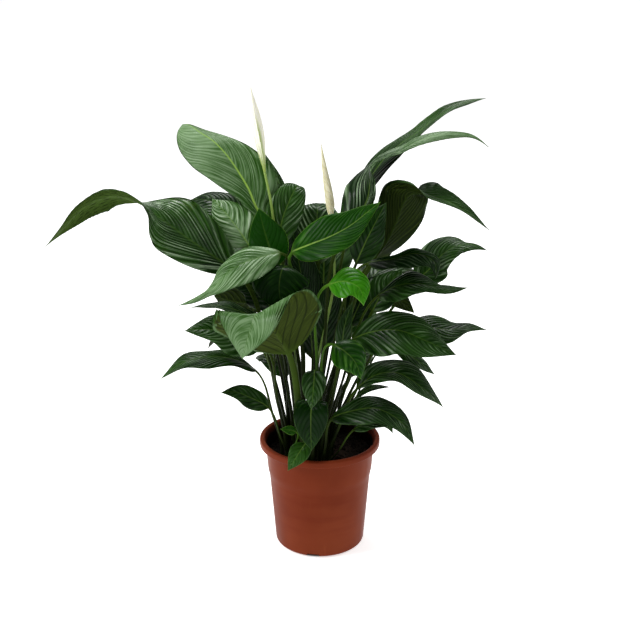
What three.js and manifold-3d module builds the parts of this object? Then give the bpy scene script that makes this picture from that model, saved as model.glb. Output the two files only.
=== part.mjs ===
// A peace lily in a nursery pot: a thin plastic pot, its soil, fifty-four leaves on their own stems and
// two furled blooms. Millimetres, Z up. The origin is the centre of the pot's flat underside, and
// the fuller side of the plant faces -Y.
import * as THREE from "three";
import { mergeVertices } from "three/addons/utils/BufferGeometryUtils.js";
import Module from "manifold-3d";

const wasm = await Module();
wasm.setup();

// The pot: a tapered wall, a wider collar above a small step, and a rolled rim.
const potHeight = 161;
const rimRadius = 85;
const rimDepth = 10;
const collarRadius = 76.6;
const stepHeight = 110;
const stepRadius = 71.8;
const stepWidth = 1.8;
const footRadius = 63.2;
const flatRadius = 57;
const wallThickness = 1.7;
const floorThickness = 3;
const potSides = 48;

// Drain notches through the pot's bottom corner.
const notchCount = 3;
const notchWidth = 18;
const notchHeight = 6.4;
const notchInnerRadius = 54;
const firstNotchDegrees = -99;

// The soil, and how the stems stand in it.
const soilEdge = 136.5;
const soilCrown = 138.5;
const touchingGap = 0.35;
const stemFoot = 126;
const stemStraightTo = 146;
const holeClearance = 0.5;
const holeSides = 6;

// Leaf blades and stems.
const bladeThickness = 1.2;
const ribDepth = 1.1;
const stemTopShare = 0.62;
const stemWidthShare = 1.2;
const stemDepthShare = 0.85;
const bladeAcross = [-1, -0.5, 0, 0.5, 1];
const shortStem = 60;
const bowOut = 0.36;
const bowUp = 0.52;
const stemStations = [0, 0.1, 0.3, 0.55, 0.8, 1];
const bladeStepLength = 24;
const fewestSteps = 5;
const mostSteps = 12;
const stepCrowding = 1.25;
const smallestHalfWidth = 0.6;
const baseFullness = 0.7;
const tipTaper = 1.1;

// Blooms.
const scapeSides = 8;
const spatheSides = 12;
const spatheSteps = 10;
const spatheLap = 0.16;
const spatheTip = 0.7;
const scapeTaper = 0.3;
const scapeStations = [0, 0.06, 0.25, 0.5, 0.75, 0.88, 1];

const colours = {
  pot: { color: 0x8a4a35, roughness: 0.45 },
  soil: { color: 0x1a1512, roughness: 0.95 },
  leaf: { color: 0x24502a, roughness: 0.4 },
  youngLeaf: { color: 0x4f9a2a, roughness: 0.4 },
  scape: { color: 0x9fb45c, roughness: 0.5 },
  spathe: { color: 0xeeecd8, roughness: 0.6 },
};

// Each leaf grows from root, where its stem leaves the soil, to the first point of rib, where the
// blade starts. rib runs on along the midrib to the tip, and faces gives the way the blade's upper
// side looks, from base to tip. width is the blade's greatest width and stem the stem's radius in
// the soil; fold lifts the two halves into a V, arch bends each half down, and wave is the height of
// the ripples along the margin. uneven is how much wider the half on the across side is than the
// mean, at the base and at the tip. A stem that has to lean clear of another passes through via.
const leaves = [
  {
    name: "leaf_left_1", root: [-44, -8], width: 84, stem: 3.8, fold: 0.15, arch: 0.25, wave: 3,
    rib: [[-110, -18, 410], [-138, -24, 433], [-171, -31, 460], [-206, -38, 490],
      [-233, -43, 513], [-267, -50, 524], [-301, -58, 513], [-330, -64, 486], [-354, -68, 461]],
    faces: [[-0.2, -0.75, 0.6], [-0.2, -0.8, 0.55], [-0.2, -0.7, 0.65], [-0.15, 0.1, 0.98],
      [-0.1, 0.6, 0.75], [-0.2, 0.55, 0.8], [-0.4, 0.4, 0.8]],
    uneven: [0.15, 0.15],
  },
  {
    name: "leaf_left_2", root: [-44, 28], width: 72, stem: 2.8, fold: 0.3, arch: 0.3, wave: 3,
    rib: [[-95, 55, 436], [-122, 70, 462], [-149, 85, 480], [-182, 105, 478]],
    faces: [[0.1, -0.6, 0.8], [0, -0.6, 0.8]],
    uneven: [0.1, -0.15],
  },
  {
    name: "leaf_left_3", root: [-36, 6], width: 60, stem: 2.8, fold: 0.3, arch: 0.3, wave: 2,
    rib: [[-94, 0, 441], [-107, 8, 459], [-126, 20, 481], [-146, 38, 497]],
    faces: [[0.2, -0.85, 0.5], [0.1, -0.8, 0.5]],
  },
  {
    name: "leaf_left_4", root: [-46, -24], width: 64, stem: 2.8, fold: 0.3, arch: 0.3, wave: 2,
    rib: [[-78, -45, 317], [-106, -56, 331], [-142, -70, 348], [-177, -82, 351]],
    faces: [[0, -0.55, 0.8], [-0.1, -0.5, 0.8]],
  },
  {
    name: "leaf_left_5", root: [-50, 6], width: 34, stem: 2.2, fold: 0.3, arch: 0.3, wave: 2,
    rib: [[-79, -5, 335], [-111, -10, 353], [-146, -14, 363], [-175, -18, 360]],
    faces: [[0, -0.4, 0.9], [0, 0.1, 1]],
  },
  {
    name: "leaf_left_6", root: [-46, 16], width: 60, stem: 2.8, fold: 0.2, arch: 0.2, wave: 2,
    rib: [[-80, 22, 352], [-111, 26, 353], [-147, 30, 361]],
    faces: [[0, 0.95, 0.2], [0, 0.95, 0.2]],
    via: [-70, 20, 336],
  },
  {
    name: "leaf_left_7", root: [-53, -14], width: 54, stem: 2.8, fold: 0.3, arch: 0.35, wave: 3,
    rib: [[-87, -35, 275], [-108, -44, 293], [-147, -58, 305], [-179, -68, 302], [-212, -78, 281]],
    faces: [[0, -0.1, 1], [0, -0.15, 1]],
  },
  {
    name: "leaf_left_8", root: [-44, -40], width: 32, stem: 2, fold: 0.2, arch: 0.2, wave: 1,
    rib: [[-70, -44, 224], [-95, -54, 244], [-113, -62, 255], [-133, -68, 257]],
    faces: [[0, -0.7, 0.7], [0, -0.7, 0.7]],
  },
  {
    name: "leaf_left_9", root: [-39, 37], width: 52, stem: 2.6, fold: 0.2, arch: 0.3, wave: 2,
    rib: [[-62, 14, 346], [-78, 12, 370], [-98, 10, 384], [-122, 8, 382]],
    faces: [[0.1, -0.95, 0.3], [0, -0.95, 0.3], [0, -0.85, 0.5]],
  },
  {
    name: "leaf_top_1", root: [-32, 24], width: 73, stem: 4, fold: 0.25, arch: 0.35, wave: 4,
    rib: [[-71, 35, 464], [-85, 38, 483], [-97, 42, 511], [-111, 47, 534], [-126, 54, 554],
      [-143, 66, 569], [-164, 86, 578], [-182, 112, 583], [-193, 136, 579]],
    faces: [[-0.1, -0.9, 0.4], [-0.2, -0.85, 0.5], [-0.2, -0.7, 0.7], [-0.3, -0.2, 0.9]],
    uneven: [0.5, -0.95],
  },
  {
    name: "leaf_top_2", root: [-23, 38], width: 54, stem: 2.8, fold: 0.3, arch: 0.3, wave: 3,
    rib: [[-54, 60, 432], [-66, 72, 479], [-74, 82, 520], [-80, 95, 553]],
    faces: [[0.2, -0.9, 0.4], [0.1, -0.9, 0.5]],
  },
  {
    name: "leaf_top_3", root: [-19, 18], width: 50, stem: 2.8, fold: 0.35, arch: 0.3, wave: 2,
    rib: [[-55, 12, 438], [-52, 18, 468], [-43, 26, 493], [-31, 44, 512], [-24, 68, 504]],
    faces: [[0.1, -0.9, 0.4], [0.2, -0.8, 0.6], [0.2, 0, 1]],
  },
  {
    name: "leaf_top_4", root: [-9, 32], width: 70, stem: 2.8, fold: 0.1, arch: 0.25, wave: 2,
    rib: [[-2, 50, 400], [-4, 60, 443], [-3, 76, 473], [0, 100, 474], [3, 128, 460]],
    faces: [[0, -0.9, 0.4], [0, -0.8, 0.6], [0, 0.3, 1]],
  },
  {
    name: "leaf_top_5", root: [-23, -10], width: 56, stem: 4.5, fold: 0.2, arch: 0.2, wave: 2,
    rib: [[-61, -24, 419], [-66, -20, 443], [-74, -12, 469], [-81, -4, 496]],
    faces: [[-0.2, -0.9, 0.2], [-0.3, -0.8, 0.3]],
  },
  {
    name: "leaf_right_1", root: [-4, 20], width: 72, stem: 3.4, fold: 0.2, arch: 0.1, wave: 2,
    rib: [[49, 42, 483], [59, 45, 508], [71, 48, 528], [90, 52, 552], [112, 56, 571],
      [130, 58, 583], [150, 62, 598], [175, 65, 616], [199, 67, 624], [223, 70, 628]],
    faces: [[-0.5, -0.2, 0.8], [-0.5, -0.2, 0.8], [-0.5, -0.1, 0.8], [-0.35, 0, 0.9],
      [-0.3, -0.05, 0.9], [-0.2, -0.3, 0.9]],
    uneven: [0.2, 0.2],
  },
  {
    name: "leaf_right_2", root: [-10, 0], width: 64, stem: 3.4, fold: 0.2, arch: 0.3, wave: 2,
    rib: [[32, -8, 460], [52, -8, 487], [63, -9, 510], [66, -11, 533], [68, -13, 556],
      [85, -17, 569], [105, -21, 577], [122, -24, 588], [148, -28, 598], [172, -31, 601],
      [194, -33, 599], [216, -36, 585]],
    faces: [[-0.45, -0.85, 0.2], [-0.55, -0.72, 0.35], [-0.75, 0.15, 0.62], [-0.2, 0, 1],
      [0, -0.1, 1], [0.2, -0.2, 1]],
    uneven: [-0.7, -0.15],
  },
  {
    name: "leaf_right_3", root: [0, -4], width: 76, stem: 3.8, fold: 0.35, arch: 0, wave: 3,
    rib: [[71, 4, 418], [91, 6, 449], [103, 6, 477], [111, 5, 500], [119, 0, 513],
      [133, -4, 516], [152, -10, 512], [172, -14, 506], [191, -17, 495], [208, -19, 482],
      [224, -20, 470]],
    faces: [[-0.4, 0.8, 0.4], [-0.35, 0.85, 0.35], [-0.3, 0.9, 0.3], [-0.2, 0.93, 0.3], [-0.1, 0.9, 0.4],
      [0, 0.4, 0.9], [0.1, -0.1, 1], [0.1, -0.2, 0.95], [0.1, -0.2, 0.95], [0.1, -0.2, 0.95],
      [0.1, -0.2, 0.95]],
    uneven: [-0.4, 0.3],
  },
  {
    name: "leaf_right_4", root: [-6, -20], width: 50, stem: 2.8, fold: 0.3, arch: 0.2, wave: 2,
    rib: [[48, -40, 430], [60, -42, 460], [74, -43, 490], [86, -44, 514]],
    faces: [[-0.5, -0.8, 0.2], [-0.5, -0.8, 0.2]],
  },
  {
    name: "leaf_right_5", root: [10, 4], width: 34, stem: 2.8, fold: 0.3, arch: 0.2, wave: 2,
    rib: [[65, 34, 401], [85, 42, 420], [107, 50, 434], [126, 54, 447]],
    faces: [[0, 0.8, 0.5], [0, 0.8, 0.5]],
  },
  {
    name: "leaf_right_6", root: [6, 30], width: 66, stem: 2.8, fold: 0.2, arch: 0.4, wave: 3,
    rib: [[133, 60, 370], [154, 54, 393], [170, 46, 416], [187, 38, 430], [208, 30, 434],
      [228, 22, 429]],
    faces: [[-0.4, -0.75, 0.55], [-0.4, -0.75, 0.55], [-0.2, -0.45, 0.85], [0.1, -0.1, 1], [0.2, -0.3, 0.9]],
    uneven: [-0.25, 0],
  },
  {
    name: "leaf_right_7", root: [8, -14], width: 56, stem: 2.8, fold: 0.2, arch: 0.4, wave: 3,
    rib: [[63, -20, 424], [96, -26, 432], [129, -36, 442], [150, -42, 433], [153, -46, 411]],
    faces: [[-0.1, -0.1, 1], [-0.1, -0.05, 1], [0.1, -0.3, 0.95], [0.5, -0.7, 0.5]],
  },
  {
    name: "leaf_right_8", root: [5, -28], width: 66, stem: 2.8, fold: 0.25, arch: 0.35, wave: 2,
    rib: [[78, -32, 382], [103, -48, 402], [128, -64, 410], [152, -78, 409], [168, -86, 410],
      [190, -94, 415]],
    faces: [[0, -0.35, 0.93], [0, -0.4, 0.93], [0, 0.1, 0.95], [0, -0.2, 1]],
  },
  {
    name: "leaf_right_9", root: [15, 14], width: 44, stem: 2.8, fold: 0.2, arch: 0.2, wave: 1,
    rib: [[73, 40, 369], [103, 36, 358], [132, 28, 336]],
    faces: [[0, 0.8, 0.5], [0.2, 0.8, 0.5]],
  },
  {
    name: "leaf_right_10", root: [17, -4], width: 46, stem: 2.8, fold: 0.3, arch: 0.2, wave: 2,
    rib: [[72, 6, 346], [88, 14, 375], [113, 20, 402]],
    faces: [[-0.15, -0.85, 0.45], [-0.1, -0.8, 0.55]],
  },
  {
    name: "leaf_right_11", root: [14, -26], width: 54, stem: 2.8, fold: 0.2, arch: 0.35, wave: 2,
    rib: [[103, -24, 331], [142, -32, 338], [175, -40, 337], [201, -46, 343], [223, -52, 341]],
    faces: [[0, -0.4, 0.9], [0, -0.4, 0.9], [0, 0, 1]],
  },
  {
    name: "leaf_right_12", root: [18, -12], width: 28, stem: 2, fold: 0.2, arch: 0.3, wave: 1,
    rib: [[99, -20, 306], [128, -28, 291], [157, -36, 270]],
    faces: [[0, -0.3, 0.95], [0.2, -0.4, 0.9]],
  },
  {
    name: "leaf_right_13", root: [11, -46], width: 46, stem: 2.8, fold: 0.25, arch: 0.35, wave: 2,
    rib: [[50, -62, 260], [73, -64, 280], [103, -76, 289], [134, -88, 274], [164, -96, 248]],
    faces: [[0, -0.4, 0.95], [0.2, -0.5, 0.9]],
    uneven: [-0.4, -0.2],
  },
  {
    name: "leaf_right_14", root: [8, -36], width: 16, stem: 1.6, fold: 0.2, arch: 0.2, wave: 0,
    rib: [[47, -42, 236], [66, -48, 254], [96, -56, 260]],
    faces: [[0, -0.3, 0.95], [0, -0.3, 0.95]],
  },
  {
    name: "leaf_right_15", root: [4, 12], width: 44, stem: 2.6, fold: 0.2, arch: 0.3, wave: 2,
    rib: [[42, 24, 318], [55, 26, 350], [68, 29, 378], [82, 31, 392]],
    faces: [[-0.2, -0.9, 0.3], [-0.3, -0.8, 0.5], [-0.2, -0.4, 0.9]],
  },
  {
    name: "leaf_front_1", root: [-31, -34], width: 58, stem: 2.8, fold: 0.2, arch: 0.4, wave: 2,
    rib: [[-50, -62, 451], [-74, -74, 450], [-97, -84, 445], [-117, -94, 435], [-136, -102, 417],
      [-156, -110, 407], [-180, -116, 398]],
    faces: [[-0.1, -0.55, 0.85], [-0.2, -0.65, 0.7], [-0.4, -0.4, 0.75], [-0.5, 0, 0.8], [-0.5, -0.1, 0.8]],
    via: [-47, -48, 358],
  },
  {
    name: "leaf_front_2", root: [-20, -56], width: 140, stem: 5.5, fold: 0.22, arch: 0.1, wave: 2,
    rib: [[-41, -80, 319], [-59, -96, 359], [-72, -128, 393], [-80, -150, 397],
      [-88, -160, 376], [-97, -163, 344]],
    faces: [[-0.1, 0.9, 0.2], [-0.15, 0.75, 0.6], [-0.42, 0, 0.91], [-0.4, -0.75, 0.5], [-0.3, -0.95, 0.1]],
    uneven: [-0.1, 0.25],
  },
  {
    name: "leaf_front_3", root: [-15, -28], width: 60, stem: 3, fold: 0.3, arch: 0.2, wave: 2,
    rib: [[-36, -66, 453], [-13, -76, 467], [10, -82, 478], [38, -84, 494], [61, -82, 512],
      [77, -78, 524]],
    faces: [[-0.2, -0.75, 0.65], [-0.2, -0.65, 0.75]],
    via: [-12, -52, 372],
  },
  {
    name: "leaf_front_4", root: [-13, -38], width: 48, stem: 3, fold: 0.2, arch: 0.3, wave: 1,
    rib: [[12, -80, 414], [34, -94, 423], [50, -104, 418], [56, -110, 396]],
    faces: [[-0.1, -0.6, 0.8], [0.1, -0.7, 0.7], [0.5, -0.8, 0.3]],
  },
  {
    name: "leaf_front_5", root: [0, -50], width: 78, stem: 2.8, fold: 0.2, arch: 0.35, wave: 2,
    rib: [[43, -58, 329], [73, -70, 346], [105, -84, 352], [138, -98, 343], [177, -110, 328]],
    faces: [[0, -0.55, 0.85], [0.1, -0.55, 0.85]],
  },
  {
    name: "leaf_front_6", root: [-9, -50], width: 46, stem: 2.6, fold: 0.2, arch: 0.3, wave: 1,
    rib: [[18, -104, 340], [33, -116, 335], [45, -123, 324], [53, -128, 302]],
    faces: [[-0.1, -0.6, 0.8], [0.3, -0.8, 0.5], [0.5, -0.85, 0.2]],
  },
  {
    name: "leaf_front_7", root: [-24, -42], width: 76, stem: 2.8, fold: 0.2, arch: 0.3, wave: 1,
    rib: [[-42, -66, 434], [-48, -82, 436], [-52, -94, 418], [-47, -100, 384]],
    faces: [[0, -0.2, 1], [0, -0.8, 0.5], [0, -0.95, 0.3]],
    via: [-32, -50, 388],
  },
  {
    name: "leaf_front_8", root: [3, -62], width: 48, stem: 2.8, fold: 0.25, arch: 0.35, wave: 2,
    rib: [[15, -76, 221], [43, -90, 240], [77, -106, 250], [105, -118, 238], [125, -124, 205]],
    faces: [[0, -0.45, 0.9], [0.1, -0.5, 0.8], [0.5, -0.6, 0.6]],
  },
  {
    name: "leaf_front_9", root: [13, -56], width: 28, stem: 2, fold: 0.2, arch: 0.3, wave: 1,
    rib: [[46, -68, 202], [69, -76, 218], [90, -84, 220], [98, -88, 206]],
    faces: [[0, -0.3, 0.95], [0, -0.5, 0.8]],
  },
  {
    name: "leaf_front_10", root: [-2, -38], width: 24, stem: 2.2, fold: 0.6, arch: 0.1, wave: 0,
    rib: [[30, -44, 306], [32, -45, 338], [44, -43, 378]],
    faces: [[0, -0.9, 0.3], [0, -0.9, 0.3]],
  },
  {
    name: "leaf_front_11", root: [-10, -68], width: 48, stem: 2.6, fold: 0.35, arch: 0.2, wave: 1,
    rib: [[-9, -78, 236], [-9, -84, 250], [-11, -93, 246], [-12, -99, 222], [-11, -99, 186]],
    faces: [[0, 0.5, 0.9], [0, -0.3, 1], [0, -0.8, 0.6], [0, -0.95, 0.2], [0, -0.95, 0.1]],
  },
  {
    name: "leaf_front_12", root: [-17, -48], width: 32, stem: 2, fold: 0.2, arch: 0.2, wave: 0,
    rib: [[-7, -86, 297], [-7, -94, 298], [-8, -104, 284], [-11, -112, 252]],
    faces: [[0, 0.1, 1], [0, -0.6, 0.8], [0, -0.95, 0.2]],
  },
  {
    name: "leaf_front_13", root: [-30, -62], width: 28, stem: 2, fold: 0.2, arch: 0.2, wave: 0,
    rib: [[-19, -72, 184], [-27, -90, 180], [-43, -99, 156]],
    faces: [[0, -0.6, 0.8], [0, -0.9, 0.3]],
  },
  {
    name: "leaf_front_14", root: [-41, -48], width: 13, stem: 1.4, fold: 0.1, arch: 0.1, wave: 0,
    rib: [[-32, -62, 196], [-42, -66, 201], [-53, -70, 204]],
    faces: [[0, -0.8, 0.6], [0, -0.8, 0.6]],
  },
  {
    name: "leaf_back_1", root: [-32, 44], width: 84, stem: 2.8, fold: 0.25, arch: 0.35, wave: 3,
    rib: [[-45, 85, 330], [-85, 125, 385], [-122, 160, 392], [-160, 190, 350]],
    faces: [[-0.2, -0.1, 1], [-0.2, 0.2, 1], [-0.4, 0.5, 0.7]],
  },
  {
    name: "leaf_back_2", root: [-14, 50], width: 90, stem: 2.8, fold: 0.25, arch: 0.35, wave: 3,
    rib: [[5, 90, 350], [5, 135, 400], [0, 180, 405], [-5, 225, 360]],
    faces: [[0, -0.1, 1], [0, 0.2, 1], [0, 0.6, 0.7]],
  },
  {
    name: "leaf_back_3", root: [1, 40], width: 76, stem: 2.8, fold: 0.25, arch: 0.35, wave: 3,
    rib: [[50, 80, 330], [85, 115, 370], [115, 150, 370], [140, 180, 330]],
    faces: [[0.2, -0.1, 1], [0.2, 0.3, 1], [0.4, 0.5, 0.7]],
  },
  {
    name: "leaf_back_4", root: [-50, 24], width: 66, stem: 2.8, fold: 0.25, arch: 0.35, wave: 3,
    rib: [[-80, 60, 265], [-112, 80, 290], [-140, 98, 282], [-165, 112, 250]],
    faces: [[-0.2, 0, 1], [-0.3, 0.2, 1], [-0.5, 0.3, 0.7]],
  },
  {
    name: "leaf_back_5", root: [-23, 58], width: 72, stem: 2.8, fold: 0.25, arch: 0.35, wave: 3,
    rib: [[-25, 100, 265], [-40, 140, 300], [-52, 180, 300], [-60, 215, 265]],
    faces: [[0, 0, 1], [0, 0.3, 1], [0, 0.6, 0.7]],
  },
  {
    name: "leaf_back_6", root: [-4, 56], width: 66, stem: 2.8, fold: 0.25, arch: 0.35, wave: 3,
    rib: [[35, 98, 270], [50, 135, 300], [60, 170, 300], [70, 205, 265]],
    faces: [[0, 0, 1], [0.1, 0.3, 1], [0.2, 0.6, 0.7]],
  },
  {
    name: "leaf_back_7", root: [15, 26], width: 66, stem: 2.8, fold: 0.25, arch: 0.35, wave: 3,
    rib: [[80, 55, 270], [115, 75, 300], [148, 92, 292], [175, 105, 255]],
    faces: [[0.2, 0, 1], [0.3, 0.2, 1], [0.5, 0.3, 0.7]],
  },
  {
    name: "leaf_back_8", root: [-40, 54], width: 46, stem: 2.8, fold: 0.25, arch: 0.35, wave: 2,
    rib: [[-50, 85, 215], [-68, 112, 236], [-82, 136, 232], [-92, 158, 210]],
    faces: [[-0.1, 0, 1], [-0.2, 0.3, 1], [-0.3, 0.5, 0.7]],
  },
  {
    name: "leaf_back_9", root: [8, 50], width: 44, stem: 2.8, fold: 0.25, arch: 0.35, wave: 2,
    rib: [[45, 88, 215], [56, 116, 238], [64, 142, 234], [70, 165, 212]],
    faces: [[0.1, 0, 1], [0.2, 0.3, 1], [0.3, 0.5, 0.7]],
  },
  {
    name: "leaf_back_10", root: [-16, 27], width: 60, stem: 2.6, fold: 0.2, arch: 0.3, wave: 2,
    rib: [[-10, 28, 268], [-16, 28, 334], [-28, 30, 406], [-40, 36, 470]],
    faces: [[-0.1, -0.95, 0.2], [-0.2, -0.9, 0.3], [-0.2, -0.8, 0.5]],
  },
  {
    name: "leaf_back_11", root: [-8, 10], width: 44, stem: 2.6, fold: 0.2, arch: 0.3, wave: 2,
    rib: [[8, 20, 285], [11, 20, 330], [15, 21, 370], [20, 24, 402]],
    faces: [[0.2, -0.95, 0.2], [0.2, -0.9, 0.3], [0.3, -0.8, 0.5]],
  },
];

// Each bloom is a leafless stalk and a furled white sheath. radius is the sheath's greatest radius,
// at the share peak of its length. lip is where its free edge starts and twist how far that edge
// runs round towards the tip, both in turns.
const blooms = [
  {
    name: "bloom_1", root: [-24, 8], stem: 2.4, radius: 8, peak: 0.5, lip: 0.7, twist: 0.08,
    scape: [[-59, 2, 453], [-66, 8, 506], [-73, 10.8, 541]],
    sheath: [[-73, 10.8, 541], [-78, 12.4, 575], [-84, 14.3, 613], [-90, 16, 653]],
  },
  {
    name: "bloom_2", root: [-15, 12], stem: 2.2, radius: 6.2, peak: 0.26, lip: 0.3, twist: 0.9,
    scape: [[20, 15, 400], [16, 18, 470]],
    sheath: [[16, 18, 470], [13, 20, 500], [6, 24, 545], [2, 26, 575]],
  },
];

function vector(p) {
  return new THREE.Vector3(p[0], p[1], p[2]);
}

function clamp01(x) {
  return Math.min(1, Math.max(0, x));
}

// A smooth curve through the points, in cubic pieces. The slope at each point is the mean of the
// chords on its two sides.
function curveThrough(points) {
  const knots = [0];
  const chords = [];
  for (let i = 1; i < points.length; i++) {
    const step = points[i].distanceTo(points[i - 1]);
    knots.push(knots[i - 1] + step);
    chords.push(points[i].clone().sub(points[i - 1]).divideScalar(step));
  }
  const slopes = points.map(() => new THREE.Vector3());
  for (let i = 1; i < points.length - 1; i++) {
    const before = knots[i] - knots[i - 1];
    const after = knots[i + 1] - knots[i];
    slopes[i]
      .addScaledVector(chords[i - 1], after / (before + after))
      .addScaledVector(chords[i], before / (before + after));
  }
  const last = points.length - 1;
  slopes[0].copy(chords[0]).multiplyScalar(1.5).addScaledVector(slopes[1], -0.5);
  slopes[last].copy(chords[last - 1]).multiplyScalar(1.5).addScaledVector(slopes[last - 1], -0.5);

  function at(distance) {
    let i = 0;
    while (i < last - 1 && distance > knots[i + 1]) i++;
    const h = knots[i + 1] - knots[i];
    const s = (distance - knots[i]) / h;
    const point = new THREE.Vector3()
      .addScaledVector(points[i], 2 * s ** 3 - 3 * s ** 2 + 1)
      .addScaledVector(slopes[i], (s ** 3 - 2 * s ** 2 + s) * h)
      .addScaledVector(points[i + 1], -2 * s ** 3 + 3 * s ** 2)
      .addScaledVector(slopes[i + 1], (s ** 3 - s ** 2) * h);
    const tangent = new THREE.Vector3()
      .addScaledVector(points[i], (6 * s ** 2 - 6 * s) / h)
      .addScaledVector(slopes[i], 3 * s ** 2 - 4 * s + 1)
      .addScaledVector(points[i + 1], (-6 * s ** 2 + 6 * s) / h)
      .addScaledVector(slopes[i + 1], 3 * s ** 2 - 2 * s)
      .normalize();
    return { point, tangent };
  }
  return { at, knots };
}

// A stem leaves the soil upright, bows outwards a little and runs into the first of the points given.
function stemPath(root, points, via) {
  const foot = new THREE.Vector3(root[0], root[1], stemFoot);
  const first = points[0];
  const path = [foot, new THREE.Vector3(root[0], root[1], stemStraightTo)];
  if (via) {
    path.push(vector(via));
  } else if (first.z - foot.z > shortStem) {
    path.push(
      new THREE.Vector3(
        foot.x + bowOut * (first.x - foot.x),
        foot.y + bowOut * (first.y - foot.y),
        foot.z + bowUp * (first.z - foot.z),
      ),
    );
  }
  return { path: [...path, ...points], bladeStart: path.length };
}

// Half the blade's width at t of its length, over the greatest half width: t^p (1 - t)^q.
function bladeOutline(t) {
  const peak = baseFullness / (baseFullness + tipTaper);
  const greatest = peak ** baseFullness * (1 - peak) ** tipTaper;
  return (t ** baseFullness * (1 - t) ** tipTaper) / greatest;
}

// Axes of the leaf's section at a distance along its path: across, and up from the upper side.
function sectionAxes(leaf, curve, distance, bladeAt) {
  const { point, tangent } = curve.at(distance);
  const end = curve.knots[curve.knots.length - 1];
  const t = clamp01((distance - bladeAt) / (end - bladeAt));
  const faces = leaf.faces.map((f) => vector(f).normalize());
  const place = t * (faces.length - 1);
  const i = Math.min(Math.floor(place), faces.length - 2);
  const up = faces[i].clone().lerp(faces[i + 1], place - i);
  if (distance < bladeAt) {
    const tip = leaf.rib[leaf.rib.length - 1];
    const inward = new THREE.Vector3(leaf.root[0] - tip[0], leaf.root[1] - tip[1], 0).normalize();
    up.copy(inward.lerp(faces[0], (distance / bladeAt) ** 2));
  }
  const across = new THREE.Vector3().crossVectors(tangent, up).normalize();
  const upright = new THREE.Vector3().crossVectors(across, tangent);
  return { point, across, upright, t };
}

// The stem's section is an oval that narrows upwards.
function stemRing(leaf, axes, share) {
  const top = stemTopShare * leaf.stem;
  const radius = top + (leaf.stem - top) * (1 - share);
  const count = 2 * bladeAcross.length;
  return Array.from({ length: count }, (_, k) => {
    const angle = Math.PI * (1 - (2 * k + 1) / count);
    return axes.point
      .clone()
      .addScaledVector(axes.across, stemWidthShare * radius * Math.cos(angle))
      .addScaledVector(axes.upright, stemDepthShare * radius * Math.sin(angle));
  });
}

// The blade's section is a thin folded and arched strip with a keel under its midrib.
function bladeRing(leaf, axes, seed) {
  const { point, across, upright, t } = axes;
  const half = Math.max((leaf.width / 2) * bladeOutline(t), smallestHalfWidth);
  const [unevenBase, unevenTip] = leaf.uneven ?? [0, 0];
  const uneven = unevenBase + (unevenTip - unevenBase) * t * t * (3 - 2 * t);
  const wide = (s) => half * (1 + uneven * Math.sign(s));
  const spread = 1 / Math.sqrt(1 + (leaf.fold - leaf.arch / 2) ** 2);
  const rippleAt = (s) => Math.sin(4 * Math.PI * t + 1.7 * seed + (s > 0 ? 1.1 : 0));
  const place = (s, lift) =>
    point
      .clone()
      .addScaledVector(across, wide(s) * s * spread)
      .addScaledVector(
        upright,
        wide(s) * (leaf.fold * Math.abs(s) - leaf.arch * s * s) +
          leaf.wave * Math.sin(Math.PI * t) * s * s * rippleAt(s) +
          lift,
      );
  const keel = ribDepth * (1 - t);
  const upper = bladeAcross.map((s) => place(s, bladeThickness / 2));
  const under = bladeAcross.map((s) => place(s, -bladeThickness / 2 - (s === 0 ? keel : 0)));
  return [...upper, ...under.reverse()];
}

// Closes a run of rings into a solid. Both sides of a blade are split along the same diagonals.
function skin(rings) {
  const count = rings[0].length;
  const index = [];
  for (let i = 0; i < rings.length - 1; i++) {
    for (let k = 0; k < count; k++) {
      const a = i * count + k;
      const b = i * count + ((k + 1) % count);
      const c = b + count;
      const d = a + count;
      if (k < count / 2) index.push(a, b, c, a, c, d);
      else index.push(a, b, d, b, c, d);
    }
  }
  const end = (rings.length - 1) * count;
  for (let k = 0; k < count / 2 - 1; k++) {
    const across = [k, k + 1, count - 2 - k, count - 1 - k];
    const [a, b, c, d] = across;
    index.push(a, c, b, a, d, c);
    index.push(end + a, end + b, end + c, end + a, end + c, end + d);
  }
  const geometry = new THREE.BufferGeometry();
  geometry.setAttribute(
    "position",
    new THREE.Float32BufferAttribute(rings.flat().flatMap((p) => p.toArray()), 3),
  );
  geometry.setIndex(index);
  geometry.computeVertexNormals();
  return geometry;
}

// A leaf: its stem and its blade in one smooth run of sections.
function leafGeometry(leaf, seed) {
  const { path, bladeStart } = stemPath(leaf.root, leaf.rib.map(vector), leaf.via);
  const curve = curveThrough(path);
  const bladeAt = curve.knots[bladeStart];
  const bladeLength = curve.knots[curve.knots.length - 1] - bladeAt;
  const stemRings = stemStations.map((share) =>
    stemRing(leaf, sectionAxes(leaf, curve, share * bladeAt, bladeAt), share),
  );
  const steps = Math.min(mostSteps, Math.max(fewestSteps, Math.round(bladeLength / bladeStepLength)));
  const bladeRings = Array.from({ length: steps }, (_, i) => {
    const t = ((i + 1) / steps) ** stepCrowding;
    return bladeRing(leaf, sectionAxes(leaf, curve, bladeAt + t * bladeLength, bladeAt), seed);
  });
  return skin([...stemRings, ...bladeRings]);
}

// A round tube whose radius is radiusAt(share of the length, angle).
function tubeGeometry(curve, stations, sides, radiusAt) {
  const end = curve.knots[curve.knots.length - 1];
  const rings = stations.map((share) => {
    const { point, tangent } = curve.at(share * end);
    const across = new THREE.Vector3().crossVectors(tangent, new THREE.Vector3(0, 1, 0)).normalize();
    const upright = new THREE.Vector3().crossVectors(across, tangent);
    return Array.from({ length: sides }, (_, k) => {
      const angle = -(2 * Math.PI * k) / sides;
      const radius = radiusAt(share, -angle);
      return point
        .clone()
        .addScaledVector(across, radius * Math.cos(angle))
        .addScaledVector(upright, radius * Math.sin(angle));
    });
  });
  return skin(rings);
}

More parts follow.
